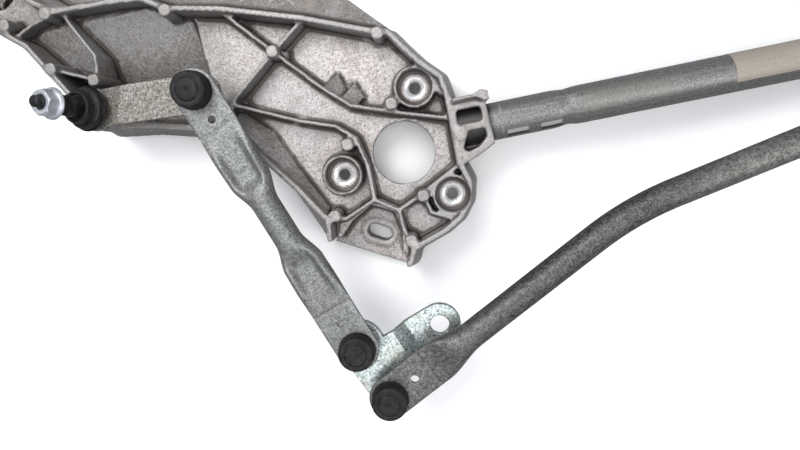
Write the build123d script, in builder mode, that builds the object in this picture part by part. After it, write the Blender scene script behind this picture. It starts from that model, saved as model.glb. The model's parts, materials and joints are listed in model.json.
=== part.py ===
"""Windshield wiper linkage: cast bracket, frame tube, two spindles, levers, links and crank.

Millimetres. Origin: centre of the motor bore on the motor seating face. +Z runs along the
bore towards the crank, +X runs along the frame tube towards the right spindle.
"""
from build123d import *
import math
import os

os.makedirs("parts", exist_ok=True)

# ---------------------------------------------------------------- driving dimensions
SPINDLE_TILT = 15.5          # degrees between the spindles and the motor bore
SPINDLE_LEAN = 157.0         # direction in plan that the spindles lean towards
LEFT_HUB = Vector(-173.5, 60.2, 22.0)      # left lever's hub, on the spindle axis
BALL_A = Vector(-106.0, 56.0, 38.0)        # left lever to left link
BALL_B = Vector(-46.5, -106.0, 38.0)       # left link to crank
BALL_C = Vector(-33.5, -138.0, 38.0)       # crank to right link
BALL_D = Vector(531.0, 33.0, 38.0)         # right link to right lever
CRANK_HUB = Vector(2.0, -105.0, 24.0)      # centre of the crank's motor-shaft hole
LINK_KINK = Vector(118.0, -55.0, 38.0)     # where the right link bends

TUBE_OD = 22.0
TUBE_WALL = 1.5
TUBE_Y = 7.5
TUBE_Z = 8.0
TUBE_START = 33.0            # tube end inside the main bracket's socket
TUBE_END = 396.0             # tube end at the right bracket

LINK_OD = 16.0
LINK_WALL = 1.5
LINK_FLAT_WIDTH = 25.0       # half the tube's circumference
LINK_FLAT_THICK = 3.0        # two walls pressed together

BALL_R = 6.5
BALL_CLEARANCE = 0.06
PLATE = 3.5                  # lever plate
CRANK_PLATE = 5.0
STUD_HEIGHT = 9.5            # plate top to ball centre

SHAFT_R = 6.0
BUSH_R = 8.0
RUN_CLEARANCE = 0.03
BOSS_R = 12.0
BOSS_STEP = 2.0              # clearance round a boss, and its shoulder for the ring
FAR = 100.0                  # longer than any part that it cuts or joins

RIM_TOP = 21.0
RIB_TOP = 17.0
SHELF_TOP = 9.0
WEB_TOP = 4.0
SEAT = 0.0                   # motor seating face
SKIRT_BOTTOM = -8.0
DEEP_FLOOR = -12.0           # floor of the spindle-side pockets
FOOT = -18.0                 # plane that the feet stand on
WALL = 3.2
RIB = 2.2
DRAFT = 9.0

MOTOR_BORE_R = 19.0
MOTOR_PCD = 77.0
MOTOR_BOLT_R = 3.4
MOTOR_BOLT_ANGLE = 69.0
EAR_HOLE_R = 4.25


# ---------------------------------------------------------------- shared geometry
def direction(tilt, lean):
    """Unit vector leaning by tilt degrees from +Z towards the plan direction lean."""
    t = math.radians(tilt)
    a = math.radians(lean)
    return Vector(math.sin(t) * math.cos(a), math.sin(t) * math.sin(a), math.cos(t))


AXIS = direction(SPINDLE_TILT, SPINDLE_LEAN)


def across(vector):
    """The part of a vector that is square to the spindle axes."""
    return vector - AXIS * vector.dot(AXIS)


# The right lever repeats the left lever plus the crank's arm between its two balls, so that
# both links keep their direction as the linkage swings.
RIGHT_ARM = across(BALL_A - LEFT_HUB) + across(BALL_C - BALL_B)
RIGHT_AXIS_POINT = BALL_D - RIGHT_ARM
HUB_DROP = 16.0              # hub centre of a lever below its ball centre
RIGHT_HUB = RIGHT_AXIS_POINT + AXIS * ((BALL_D.Z - HUB_DROP - RIGHT_AXIS_POINT.Z) / AXIS.Z)


def spindle_plane(hub, along=0.0):
    """Plane square to a spindle, its origin this far along the axis from the hub."""
    return Plane(origin=hub + AXIS * along, x_dir=across(Vector(1, 0, 0)), z_dir=AXIS)


def flat_plane(point, heading=0.0, lift=0.0):
    """Level plane at a point, with its x axis turned to a plan heading in degrees."""
    a = math.radians(heading)
    return Plane(
        origin=point + Vector(0, 0, lift),
        x_dir=(math.cos(a), math.sin(a), 0),
        z_dir=(0, 0, 1),
    )


def heading(start, end):
    """Plan direction from one point to another, in degrees."""
    return math.degrees(math.atan2(end.Y - start.Y, end.X - start.X))


def side_plane(point):
    """Upright plane through a point, x to +X and y to +Z."""
    return Plane(origin=point, x_dir=(1, 0, 0), z_dir=(0, -1, 0))


def plan_distance(start, end):
    return math.hypot(end.X - start.X, end.Y - start.Y)


def write(part, name):
    """Label a finished piece and write its STEP."""
    part.label = name
    export_step(part, f"parts/{name}.step")


# ---------------------------------------------------------------- main bracket
RIM_OUTLINE = [
    (-178, 50), (-190, 73), (-200, 90), (-208, 104), (-220, 114), (-233, 126), (-238, 142),
    (-226, 152), (-208, 143), (-195, 129), (-184, 122), (-148, 120), (-131, 118), (-119, 110),
    (-88, 103), (-42, 88), (-5, 73), (6, 70), (12, 61), (21, 49), (31, 39), (33, 27), (33, -12),
    (37, -24), (34, -36), (27, -45), (17, -51), (-3, -58), (-7, -67), (-13, -67), (-31, -56),
    (-55, -45), (-53, -31), (-67, -9), (-80, 8), (-97, 32), (-124, 39), (-150, 46),
]
SHELF_OUTLINE = [
    (-200, 134), (-226, 152), (-220, 160), (-202, 161), (-154, 149), (-96, 132), (-40, 111),
    (-14, 93), (6, 72), (-5, 70), (-42, 84), (-88, 99), (-119, 106), (-148, 116), (-184, 118),
]
# Zones whose floor is lower than the motor web.
DEEP_ZONE = [
    (-184, 122), (-148, 120), (-119, 110), (-106, 106), (-104, 60), (-112, 36), (-150, 46),
    (-178, 50), (-190, 73), (-208, 104), (-233, 126), (-238, 142), (-226, 152), (-208, 143),
]
EAR_ZONE = [(-55, -47), (-42, -34), (-26, -25), (-11, -33), (-8, -46), (-12, -70), (-31, -60)]

PAD_R = 3.7
PADS = [(-63, 72), (-1, 69), (-1, 29), (-31, 11), (-47, -29), (-5, -52), (7, -27)]
# Section of the deep floor across Y and Z: level by the boss, then up to the far wall.
FLOOR_SECTION = [(30, -12), (72, -12), (114, 7), (170, 7)]
FLOOR_SPAN = (-250, -90)         # X stretch that the section is swept along
DEEP_PADS = [(-190, 120), (-216, 119), (-195, 89), (-172, 78), (-119, 107)]
PAD_TOP = 20.0
RIBS = [
    [(-89, 101.5), (-63, 72), (-41, 48), (-25, 33), (3, 23), (31.5, 14)],
    [(-43, 86), (-63, 72), (-95, 48)],
    [(-95, 48), (-56, 30), (-36, 23), (-26, 14), (-22, -3), (-22, -24), (-9, -33)],
    [(-22, -24), (-41, -32), (-52, -31)],
    [(-9, -33), (5, -27), (18, -20), (34, -12)],
    [(-9, -33), (-8, -46), (-5, -58)],
    [(7, -27), (10, -38), (24, -45)],
    [(-95, 48), (-97, 34)],
]
DEEP_RIBS = [
    [(-183, 121), (-177, 108), (-169, 92), (-171, 77)],
    [(-195, 89), (-172, 78)],
    [(-190, 120), (-203, 117), (-215, 112)],
]
SLOT_CENTRE = (-25.5, -46.5)
SLOT_TURN = -28.0
SLOT_LENGTH = 16.0
SLOT_WIDTH = 8.5
EAR_TOP = -8.0
EAR_FRONT = [(-66, -43.5), (-50.5, -43.5), (-29, -50.8), (-10.5, -61.8), (-10.5, -82), (-66, -82)]
LEFT_EAR = (-226, 146)
EAR_R = 13.0
WEB_THICK = 4.0
FLOOR_THICK = 3.0
HOLLOW_TOP = -15.0               # top of the hollow under the level part of the deep floor
LOW_RIM = 15.0
LEVER_SWEEP = [(-200, 30), (-186, 62), (-150, 62), (-108, 50), (-106, 30)]
SOCKET_OUTLINE = [(31, 22.5), (52, 22.5), (53.5, -5), (46, -9), (36, -13), (31, -13)]
SOCKET_TOP = 21.5
SOCKET_BOTTOM = -5.5
SOCKET_EDGE = 1.0
SOCKET_WINDOWS = [
    [(34.5, 17.5), (48.8, 17.5), (48.8, 9), (34.5, 9)],
    [(39.8, 5), (49.5, 5), (49.5, -0.5), (44, -5.2), (38, -6.8), (35, -5)],
]
WINDOW_CORNER = 1.6
WINDOW_FLOOR = 10.0
SOCKET_PAD = (35.2, 4.0)
SOCKET_PAD_RAISE = 0.8
SOCKET_FIN = [(33, 22), (47, 22.5), (51, 20), (54, 20), (54, 25), (50, 26.5), (46, 24.5), (34, 24.5)]
FIN_TOP = 25.0
BOLT_SPOTS = [
    (
        MOTOR_PCD / 2 * math.cos(math.radians(MOTOR_BOLT_ANGLE + 120 * i)),
        MOTOR_PCD / 2 * math.sin(math.radians(MOTOR_BOLT_ANGLE + 120 * i)),
    )
    for i in range(3)
]
BOSS_RIM_R = 12.0
COUNTERBORE_R = 10.3
COUNTERBORE_FLOOR = 9.0
CHAMFER_WIDTH = 2.6
CHAMFER_DEPTH = 1.3
EAR_FACE_RAISE = 0.8         # machined ring round the slot
EAR_FACE_MARGIN = 7.0
BOSS_TOP = -5.0              # along the spindle from the hub
BOSS_LENGTH = 28.0

with BuildPart() as main_bracket:
    # Outer walls, flaring towards the foot, and the shelf beyond the top rib.
    with BuildSketch(Plane.XY.offset(RIM_TOP)) as rim_face:
        with BuildLine():
            Polyline(*RIM_OUTLINE, close=True)
        make_face()
        fillet(rim_face.vertices(), 2.5)
    extrude(amount=RIM_TOP - SKIRT_BOTTOM, dir=(0, 0, -1), taper=-DRAFT)
    with BuildSketch(Plane.XY.offset(SKIRT_BOTTOM)) as shelf_face:
        with BuildLine():
            Polyline(*SHELF_OUTLINE, close=True)
        make_face()
    extrude(amount=SHELF_TOP - SKIRT_BOTTOM)
    # The spindle-side pockets and the slotted ear reach down to the feet.
    with BuildSketch(Plane.XY.offset(FOOT)) as deep_face:
        with BuildLine():
            Polyline(*DEEP_ZONE, close=True)
        make_face()
        with BuildLine():
            Polyline(*EAR_ZONE, close=True)
        make_face()
        with Locations(LEFT_EAR):
            Circle(EAR_R)
    extrude(amount=SKIRT_BOTTOM - FOOT + 1)

    # The open inside, with its lower floor on the spindle side.
    with BuildSketch(Plane.XY.offset(RIM_TOP)) as inside:
        with BuildLine():
            Polyline(*RIM_OUTLINE, close=True)
        make_face()
        offset(amount=-WALL, kind=Kind.INTERSECTION)
    extrude(amount=RIM_TOP - WEB_TOP, dir=(0, 0, -1), mode=Mode.SUBTRACT)
    with BuildSketch(Plane.XY.offset(WEB_TOP)) as deep_inside:
        with BuildLine():
            Polyline(*DEEP_ZONE, close=True)
        make_face()
        offset(amount=-WALL, kind=Kind.INTERSECTION)
    extrude(amount=WEB_TOP - DEEP_FLOOR, dir=(0, 0, -1), mode=Mode.SUBTRACT)
    with BuildSketch(Plane.XY.offset(WEB_TOP)) as ear_pocket:
        with BuildLine():
            Polyline(*EAR_ZONE, close=True)
        make_face()
        offset(amount=-RIB, kind=Kind.INTERSECTION)
    extrude(amount=WEB_TOP - EAR_TOP, dir=(0, 0, -1), mode=Mode.SUBTRACT)

    # Hollow underside: the motor seat, the shelf and the raised floors of the low zones.
    with BuildSketch(Plane.XY.offset(FOOT)) as motor_hollow:
        with BuildLine():
            Polyline(*RIM_OUTLINE, close=True)
        make_face()
        offset(amount=-WALL, kind=Kind.INTERSECTION)
        with BuildLine():
            Polyline(*DEEP_ZONE, close=True)
        make_face(mode=Mode.SUBTRACT)
        with BuildLine():
            Polyline(*EAR_ZONE, close=True)
        make_face(mode=Mode.SUBTRACT)
    extrude(amount=SEAT - FOOT, mode=Mode.SUBTRACT)
    with BuildSketch(Plane.XY.offset(FOOT)) as shelf_hollow:
        with BuildLine():
            Polyline(*SHELF_OUTLINE, close=True)
        make_face()
        offset(amount=-WALL, kind=Kind.INTERSECTION)
        with BuildLine():
            Polyline(*DEEP_ZONE, close=True)
        make_face(mode=Mode.SUBTRACT)
        with Locations(LEFT_EAR):
            Circle(EAR_R, mode=Mode.SUBTRACT)
    extrude(amount=SHELF_TOP - WEB_THICK - FOOT, mode=Mode.SUBTRACT)
    with BuildSketch(Plane.XY.offset(FOOT)) as low_hollow:
        with BuildLine():
            Polyline(*DEEP_ZONE, close=True)
        make_face()
        offset(amount=-WALL, kind=Kind.INTERSECTION)
        with Locations(LEFT_EAR):
            Circle(EAR_R, mode=Mode.SUBTRACT)
    extrude(amount=HOLLOW_TOP - FOOT, mode=Mode.SUBTRACT)

    # The deep floor rises towards the far wall, with an even thickness.
    for level, inset, part_mode in ((0, WALL / 2, Mode.ADD), (-FLOOR_THICK, WALL, Mode.SUBTRACT)):
        with BuildPart(mode=Mode.PRIVATE) as rise:
            with BuildSketch(Plane.XY.offset(HOLLOW_TOP - 1)):
                with BuildLine():
                    Polyline(*DEEP_ZONE, close=True)
                make_face()
                offset(amount=-inset, kind=Kind.INTERSECTION)
                with Locations(LEFT_EAR):
                    Circle(EAR_R, mode=Mode.SUBTRACT)
            extrude(amount=RIB_TOP - HOLLOW_TOP)
            with BuildSketch(Plane.YZ.offset(FLOOR_SPAN[0])):
                with BuildLine():
                    Polyline(
                        *[(y, z + level) for y, z in FLOOR_SECTION],
                        (FLOOR_SECTION[-1][0], FAR), (FLOOR_SECTION[0][0], FAR), close=True,
                    )
                make_face()
            extrude(amount=FLOOR_SPAN[1] - FLOOR_SPAN[0], mode=Mode.SUBTRACT)
        add(rise.part, mode=part_mode)

    # Ribs and ejector pads stand on the floor of their own zone.
    for rib_line in RIBS:
        with BuildSketch(Plane.XY.offset(SEAT + 1)):
            with BuildLine() as rib_path:
                Polyline(*rib_line)
            trace(line_width=RIB)
        extrude(amount=RIB_TOP - SEAT - 1)
    for rib_line in DEEP_RIBS:
        with BuildSketch(Plane.XY.offset(DEEP_FLOOR - 1)):
            with BuildLine() as deep_rib_path:
                Polyline(*rib_line)
            trace(line_width=RIB)
        extrude(amount=RIB_TOP - DEEP_FLOOR + 1)
    with BuildSketch(Plane.XY.offset(SEAT + 1)):
        with Locations(*PADS):
            Circle(PAD_R)
    extrude(amount=PAD_TOP - SEAT - 1)
    with BuildSketch(Plane.XY.offset(DEEP_FLOOR - 1)):
        with Locations(*DEEP_PADS):
            Circle(PAD_R)
    extrude(amount=PAD_TOP - DEEP_FLOOR + 1)

    # The wall under the left lever is lower, so that the lever passes over it.
    with BuildSketch(Plane.XY.offset(LOW_RIM)) as lever_path:
        with BuildLine():
            Polyline(*LEVER_SWEEP, close=True)
        make_face()
    extrude(amount=RIM_TOP, mode=Mode.SUBTRACT)

    # Left spindle boss, tilted, with room below it for the retaining ring.
    with BuildSketch(spindle_plane(LEFT_HUB, BOSS_TOP)):
        Circle(BOSS_R)
    extrude(amount=-BOSS_LENGTH)
    with BuildSketch(spindle_plane(LEFT_HUB, BOSS_TOP)):
        Circle(BOSS_R + BOSS_STEP)
    extrude(amount=FAR, mode=Mode.SUBTRACT)
    with BuildSketch(spindle_plane(LEFT_HUB, BOSS_TOP - BOSS_LENGTH)):
        Circle(BOSS_R - BOSS_STEP)
    extrude(amount=-FAR, mode=Mode.SUBTRACT)
    with BuildSketch(spindle_plane(LEFT_HUB, BOSS_TOP)):
        Circle(BUSH_R)
    extrude(amount=-BOSS_LENGTH, mode=Mode.SUBTRACT)

    # Three screw bosses round the motor bore.
    with BuildSketch(Plane.XY.offset(SEAT)):
        with Locations(*BOLT_SPOTS):
            Circle(BOSS_RIM_R)
    extrude(amount=RIB_TOP - SEAT)
    with BuildSketch(Plane.XY.offset(COUNTERBORE_FLOOR)):
        with Locations(*BOLT_SPOTS):
            Circle(COUNTERBORE_R)
    extrude(amount=RIM_TOP, mode=Mode.SUBTRACT)
    with Locations(*[(x, y, COUNTERBORE_FLOOR) for x, y in BOLT_SPOTS]):
        Hole(MOTOR_BOLT_R, depth=RIM_TOP)
        Cone(
            MOTOR_BOLT_R, MOTOR_BOLT_R + CHAMFER_WIDTH, CHAMFER_DEPTH,
            align=(Align.CENTER, Align.CENTER, Align.MAX), mode=Mode.SUBTRACT,
        )
    with Locations((0, 0, RIM_TOP)):
        Hole(MOTOR_BORE_R, depth=RIM_TOP - FOOT)

    # The slotted ear is open at its front: no wall stands along that edge.
    with BuildSketch(Plane.XY.offset(EAR_TOP)):
        with BuildLine():
            Polyline(*EAR_FRONT, close=True)
        make_face()
    extrude(amount=RIM_TOP - EAR_TOP, mode=Mode.SUBTRACT)

    # Slotted ear with a raised, machined face, and the round ear at the far corner.
    with BuildSketch(Plane.XY.offset(FOOT)):
        with Locations(SLOT_CENTRE):
            SlotOverall(
                SLOT_LENGTH + EAR_FACE_MARGIN, SLOT_WIDTH + EAR_FACE_MARGIN, rotation=SLOT_TURN
            )
    extrude(amount=EAR_TOP + EAR_FACE_RAISE - FOOT)
    with BuildSketch(Plane.XY.offset(FOOT)):
        with Locations(SLOT_CENTRE):
            SlotOverall(SLOT_LENGTH, SLOT_WIDTH, rotation=SLOT_TURN)
        with Locations(LEFT_EAR):
            Circle(EAR_HOLE_R)
    extrude(amount=RIM_TOP - FOOT, mode=Mode.SUBTRACT)
    with BuildSketch(Plane.XY.offset(EAR_TOP)):
        with Locations(LEFT_EAR):
            Circle(EAR_R - 1)
    extrude(amount=RIM_TOP - EAR_TOP + 1, mode=Mode.SUBTRACT)

    # Socket that the frame tube is crimped into, with its two crimping windows.
    with BuildSketch(Plane.XY.offset(SOCKET_BOTTOM)) as socket_plan:
        with BuildLine():
            Polyline(*SOCKET_OUTLINE, close=True)
        make_face()
        fillet(socket_plan.vertices(), SOCKET_EDGE)
    extrude(amount=SOCKET_TOP - SOCKET_BOTTOM)
    with BuildSketch(Plane.XY.offset(SOCKET_TOP)):
        with Locations(SOCKET_PAD):
            Circle(PAD_R)
    extrude(amount=SOCKET_PAD_RAISE)
    with BuildSketch(Plane.YZ.offset(TUBE_START)):
        with Locations((TUBE_Y, TUBE_Z)):
            Circle(TUBE_OD / 2)
    extrude(amount=TUBE_START, mode=Mode.SUBTRACT)
    for window in SOCKET_WINDOWS:
        with BuildSketch(Plane.XY.offset(WINDOW_FLOOR)) as window_plan:
            with BuildLine():
                Polyline(*window, close=True)
            make_face()
            fillet(window_plan.vertices(), WINDOW_CORNER)
        extrude(amount=RIM_TOP, mode=Mode.SUBTRACT)
    with BuildSketch(Plane.XY.offset(TUBE_Z)):
        with BuildLine():
            Polyline(*SOCKET_FIN, close=True)
        make_face()
    extrude(amount=FIN_TOP - TUBE_Z)

write(main_bracket.part, "main_bracket")


# ---------------------------------------------------------------- frame tube and label
LABEL_START = 191.0
LABEL_LENGTH = 74.0
LABEL_THICK = 0.15
LABEL_FROM = -32.0           # degrees from +Z, positive towards +Y
LABEL_TO = 96.0
TUBE_SLOTS_X = [68.5, 88.0]
TUBE_SLOT_LENGTH = 13.0
TUBE_SLOT_WIDTH = 5.0
TUBE_SLOT_TURN = 50.0        # degrees from +Z towards -Y
CRIMP_X = 103.0
CRIMP_LENGTH = 12.0
CRIMP_DEPTH = 0.9

with BuildPart() as frame_tube:
    with BuildSketch(Plane.YZ.offset(TUBE_START)):
        with Locations((TUBE_Y, TUBE_Z)):
            Circle(TUBE_OD / 2)
            Circle(TUBE_OD / 2 - TUBE_WALL, mode=Mode.SUBTRACT)
    extrude(amount=TUBE_END - TUBE_START)
    # A shallow rolled neck and two punched slots on the upper -Y side.
    with BuildSketch(Plane(origin=(CRIMP_X, TUBE_Y, TUBE_Z), x_dir=(1, 0, 0), z_dir=(0, -1, 0))):
        with BuildLine():
            ThreePointArc(
                (-CRIMP_LENGTH / 2, TUBE_OD / 2 + 0.01),
                (0, TUBE_OD / 2 - CRIMP_DEPTH),
                (CRIMP_LENGTH / 2, TUBE_OD / 2 + 0.01),
            )
            Line((CRIMP_LENGTH / 2, TUBE_OD / 2 + 0.01), (-CRIMP_LENGTH / 2, TUBE_OD / 2 + 0.01))
        make_face()
    revolve(axis=Axis((CRIMP_X, TUBE_Y, TUBE_Z), (1, 0, 0)), mode=Mode.SUBTRACT)
    slot_turn = math.radians(TUBE_SLOT_TURN)
    slot_out = (0, -math.sin(slot_turn), math.cos(slot_turn))
    with BuildSketch(Plane(origin=(0, TUBE_Y, TUBE_Z), x_dir=(1, 0, 0), z_dir=slot_out)):
        with Locations(*[(x, 0) for x in TUBE_SLOTS_X]):
            SlotOverall(TUBE_SLOT_LENGTH, TUBE_SLOT_WIDTH)
    extrude(amount=TUBE_OD, mode=Mode.SUBTRACT)

write(frame_tube.part, "frame_tube")

with BuildPart() as frame_label:
    with BuildSketch(Plane.YZ.offset(LABEL_START)):
        with Locations((TUBE_Y, TUBE_Z)):
            Circle(TUBE_OD / 2 + LABEL_THICK)
            Circle(TUBE_OD / 2, mode=Mode.SUBTRACT)
        with BuildLine():
            start = math.radians(90 - LABEL_TO)
            middle = math.radians(90 - (LABEL_TO + LABEL_FROM) / 2)
            end = math.radians(90 - LABEL_FROM)
            centre = (TUBE_Y, TUBE_Z)
            reach = 2 * TUBE_OD
            rim = [
                (TUBE_Y + reach * math.cos(a), TUBE_Z + reach * math.sin(a))
                for a in (start, middle, end)
            ]
            Polyline(centre, *rim, close=True)
        make_face(mode=Mode.INTERSECT)
    extrude(amount=LABEL_LENGTH)

write(frame_label.part, "frame_label")


# ---------------------------------------------------------------- right bracket
SPIGOT_R = TUBE_OD / 2 - TUBE_WALL
SPIGOT_LENGTH = 24.0
RIGHT_EAR = (456.0, -24.0)
RIGHT_LOW = -8.0
RIGHT_WEB_TOP = -3.0
RIGHT_RIB_HEIGHT = 9.0
RIGHT_WALL_TOP = 14.0
RIGHT_EAR_TOP = 0.0
COLLAR_R = 14.0
COLLAR_LENGTH = 11.0
COLLAR_SPOT = (TUBE_END + COLLAR_R + 3, TUBE_Y)
RIGHT_BOSS_BASE = RIGHT_HUB + AXIS * ((RIGHT_WEB_TOP - RIGHT_HUB.Z) / AXIS.Z)
RIGHT_BOSS_SPOT = (RIGHT_BOSS_BASE.X, RIGHT_BOSS_BASE.Y)

with BuildPart() as right_bracket:
    # Web out to the ear, and a wall round the stretch from the tube to the spindle.
    with BuildSketch(Plane.XY.offset(RIGHT_LOW)):
        with Locations(COLLAR_SPOT):
            Circle(COLLAR_R - 1)
        with Locations(RIGHT_BOSS_SPOT):
            Circle(BOSS_R + 3)
        with Locations(RIGHT_EAR):
            Circle(EAR_R)
        make_hull()
    extrude(amount=RIGHT_WEB_TOP - RIGHT_LOW)
    with BuildSketch(Plane.XY.offset(RIGHT_LOW)):
        with Locations(COLLAR_SPOT):
            Circle(COLLAR_R)
        with Locations(RIGHT_BOSS_SPOT):
            Circle(BOSS_R + 4)
        make_hull()
        offset(amount=-WALL, mode=Mode.SUBTRACT)
    extrude(amount=RIGHT_WALL_TOP - RIGHT_LOW)
    for rib_end in (RIGHT_BOSS_SPOT, RIGHT_EAR):
        with BuildSketch(Plane.XY.offset(RIGHT_WEB_TOP - 1)):
            with BuildLine():
                Line(COLLAR_SPOT, rib_end)
            trace(line_width=RIB)
        extrude(amount=RIGHT_RIB_HEIGHT)
    with BuildSketch(Plane.XY.offset(FOOT)):
        with Locations(RIGHT_EAR):
            Circle(EAR_R + 1)
    extrude(amount=RIGHT_EAR_TOP - FOOT)
    with BuildSketch(Plane.XY.offset(RIGHT_EAR_TOP)):
        with Locations(RIGHT_EAR):
            Circle(EAR_R - 2)
    extrude(amount=RIM_TOP, mode=Mode.SUBTRACT)
    with BuildSketch(Plane.XY.offset(FOOT)):
        with Locations(RIGHT_EAR):
            Circle(EAR_HOLE_R)
    extrude(amount=RIM_TOP - FOOT, mode=Mode.SUBTRACT)
    # Collar and spigot for the tube.
    with BuildSketch(Plane.YZ.offset(TUBE_END)):
        with Locations((TUBE_Y, TUBE_Z)):
            Circle(COLLAR_R - 0.7)
    extrude(amount=COLLAR_LENGTH)
    with BuildSketch(Plane.YZ.offset(TUBE_END - SPIGOT_LENGTH)):
        with Locations((TUBE_Y, TUBE_Z)):
            Circle(SPIGOT_R)
    extrude(amount=SPIGOT_LENGTH + 1)
    # Spindle boss with its bore, and a ring foot under it.
    with BuildSketch(Plane.XY.offset(FOOT)):
        with Locations(RIGHT_BOSS_SPOT):
            Circle(BOSS_R + 3)
            Circle(BOSS_R, mode=Mode.SUBTRACT)
    extrude(amount=RIGHT_LOW - FOOT + 1)
    with BuildSketch(spindle_plane(RIGHT_HUB, BOSS_TOP)):
        Circle(BOSS_R)
    extrude(amount=-BOSS_LENGTH)
    with BuildSketch(spindle_plane(RIGHT_HUB, BOSS_TOP - BOSS_LENGTH)):
        Circle(BOSS_R - BOSS_STEP)
    extrude(amount=-BOSS_LENGTH, mode=Mode.SUBTRACT)
    with BuildSketch(spindle_plane(RIGHT_HUB, BOSS_TOP)):
        Circle(BUSH_R)
    extrude(amount=-BOSS_LENGTH, mode=Mode.SUBTRACT)

write(right_bracket.part, "right_bracket")


# ---------------------------------------------------------------- spindle groups
SHAFT_BOTTOM = -37.0
SEAT_START = 20.0            # knurled seat of the wiper arm, from here to SEAT_END
SEAT_END = 29.0
SEAT_TOP_R = 5.0
THREAD_R = 4.0
THREAD_TOP = 37.4
PILOT_START = 38.0           # plain point above the thread
PILOT_R = 3.2
PILOT_END = 40.4
SHAFT_TOP = 41.0
GROOVE_LOW = -35.4
GROOVE_WIDTH = 1.2
GROOVE_R = 5.3
BUSH_LENGTH = 9.0
WASHER_THICK = 1.0
NUT_FLATS = 13.0
NUT_FLANGE_R = 8.95
NUT_FLANGE_THICK = 2.0
NUT_HEIGHT = 8.0


def ring(hub, low, thick, outer, inner):
    """Plain ring round a spindle, from low upwards along the axis."""
    with BuildPart() as piece:
        with BuildSketch(spindle_plane(hub, low)):
            Circle(outer)
            Circle(inner, mode=Mode.SUBTRACT)
        extrude(amount=thick)
    return piece.part


def spindle(hub):
    """Stepped shaft: ring groove, bearing length, tapered seat, thread and pilot point."""
    outline = [
        (0, SHAFT_BOTTOM), (SHAFT_R - 0.6, SHAFT_BOTTOM), (SHAFT_R, SHAFT_BOTTOM + 0.6),
        (SHAFT_R, GROOVE_LOW), (GROOVE_R, GROOVE_LOW), (GROOVE_R, GROOVE_LOW + GROOVE_WIDTH),
        (SHAFT_R, GROOVE_LOW + GROOVE_WIDTH), (SHAFT_R, SEAT_START), (SEAT_TOP_R, SEAT_END),
        (THREAD_R, SEAT_END), (THREAD_R, THREAD_TOP), (PILOT_R, PILOT_START),
        (PILOT_R, PILOT_END), (PILOT_R - 0.6, SHAFT_TOP), (0, SHAFT_TOP),
    ]
    sideways = across(Vector(1, 0, 0)).normalized()
    with BuildPart() as piece:
        with BuildSketch(Plane(origin=hub, x_dir=sideways, z_dir=sideways.cross(AXIS))):
            with BuildLine():
                Polyline(*outline, close=True)
            make_face()
        revolve(axis=Axis(hub, AXIS))
    return piece.part


def flange_nut(hub):
    with BuildPart() as piece:
        with BuildSketch(spindle_plane(hub, SEAT_END)):
            Circle(NUT_FLANGE_R)
        extrude(amount=NUT_FLANGE_THICK)
        with BuildSketch(spindle_plane(hub, SEAT_END + NUT_FLANGE_THICK)):
            RegularPolygon(NUT_FLATS / 2, 6, major_radius=False)
        extrude(amount=NUT_HEIGHT - NUT_FLANGE_THICK)
        with BuildSketch(spindle_plane(hub, SEAT_END)):
            Circle(THREAD_R)
        extrude(amount=NUT_HEIGHT, mode=Mode.SUBTRACT)
    return piece.part


def sleeve(hub):
    """Black moulded sleeve: a wide skirt with a narrower collar on top."""
    low = PLATE / 2 + WASHER_THICK
    outline = [
        (SHAFT_R, low), (12.2, low), (12.2, low + 6.2), (11.2, low + 7.2), (9.4, low + 7.2),
        (9.4, low + 11.6), (8.8, low + 12.2), (SHAFT_R, low + 12.2),
    ]
    sideways = across(Vector(1, 0, 0)).normalized()
    with BuildPart() as piece:
        with BuildSketch(Plane(origin=hub, x_dir=sideways, z_dir=sideways.cross(AXIS))):
            with BuildLine():
                Polyline(*outline, close=True)
            make_face()
        revolve(axis=Axis(hub, AXIS))
    return piece.part


def thrust_washers(hub):
    """One washer above the upper bush and one below the lower bush."""
    washer_r = 9.6
    with BuildPart() as pair:
        for low in (BOSS_TOP + 0.3, BOSS_TOP - BOSS_LENGTH - 0.1 - WASHER_THICK):
            with BuildSketch(spindle_plane(hub, low)):
                Circle(washer_r)
                Circle(SHAFT_R, mode=Mode.SUBTRACT)
            extrude(amount=WASHER_THICK)
    return pair.part


def seal_ring(hub):
    """Rubber ring squeezed between the lever and the upper washer."""
    cord_r = (-PLATE / 2 - (BOSS_TOP + 0.3 + WASHER_THICK)) / 2
    sideways = across(Vector(1, 0, 0)).normalized()
    middle = hub + AXIS * (-PLATE / 2 - cord_r) + sideways * (SHAFT_R + cord_r)
    with BuildPart() as piece:
        with BuildSketch(Plane(origin=middle, x_dir=sideways, z_dir=sideways.cross(AXIS))):
            Circle(cord_r)
        revolve(axis=Axis(hub, AXIS))
    return piece.part


def retaining_ring(hub):
    """Split ring in the spindle's groove."""
    with BuildPart() as piece:
        with BuildSketch(spindle_plane(hub, GROOVE_LOW)):
            Circle(8.0)
            Circle(GROOVE_R, mode=Mode.SUBTRACT)
            with Locations((7.0, 0)):
                Rectangle(6.0, 4.0, mode=Mode.SUBTRACT)
        extrude(amount=1.0)
    return piece.part


LEVER_WIDTH = 22.0
LEVER_HUB_R = 12.5
STUD_TAIL_R = 4.0
CUP_WASHER_R = 13.2


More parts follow.
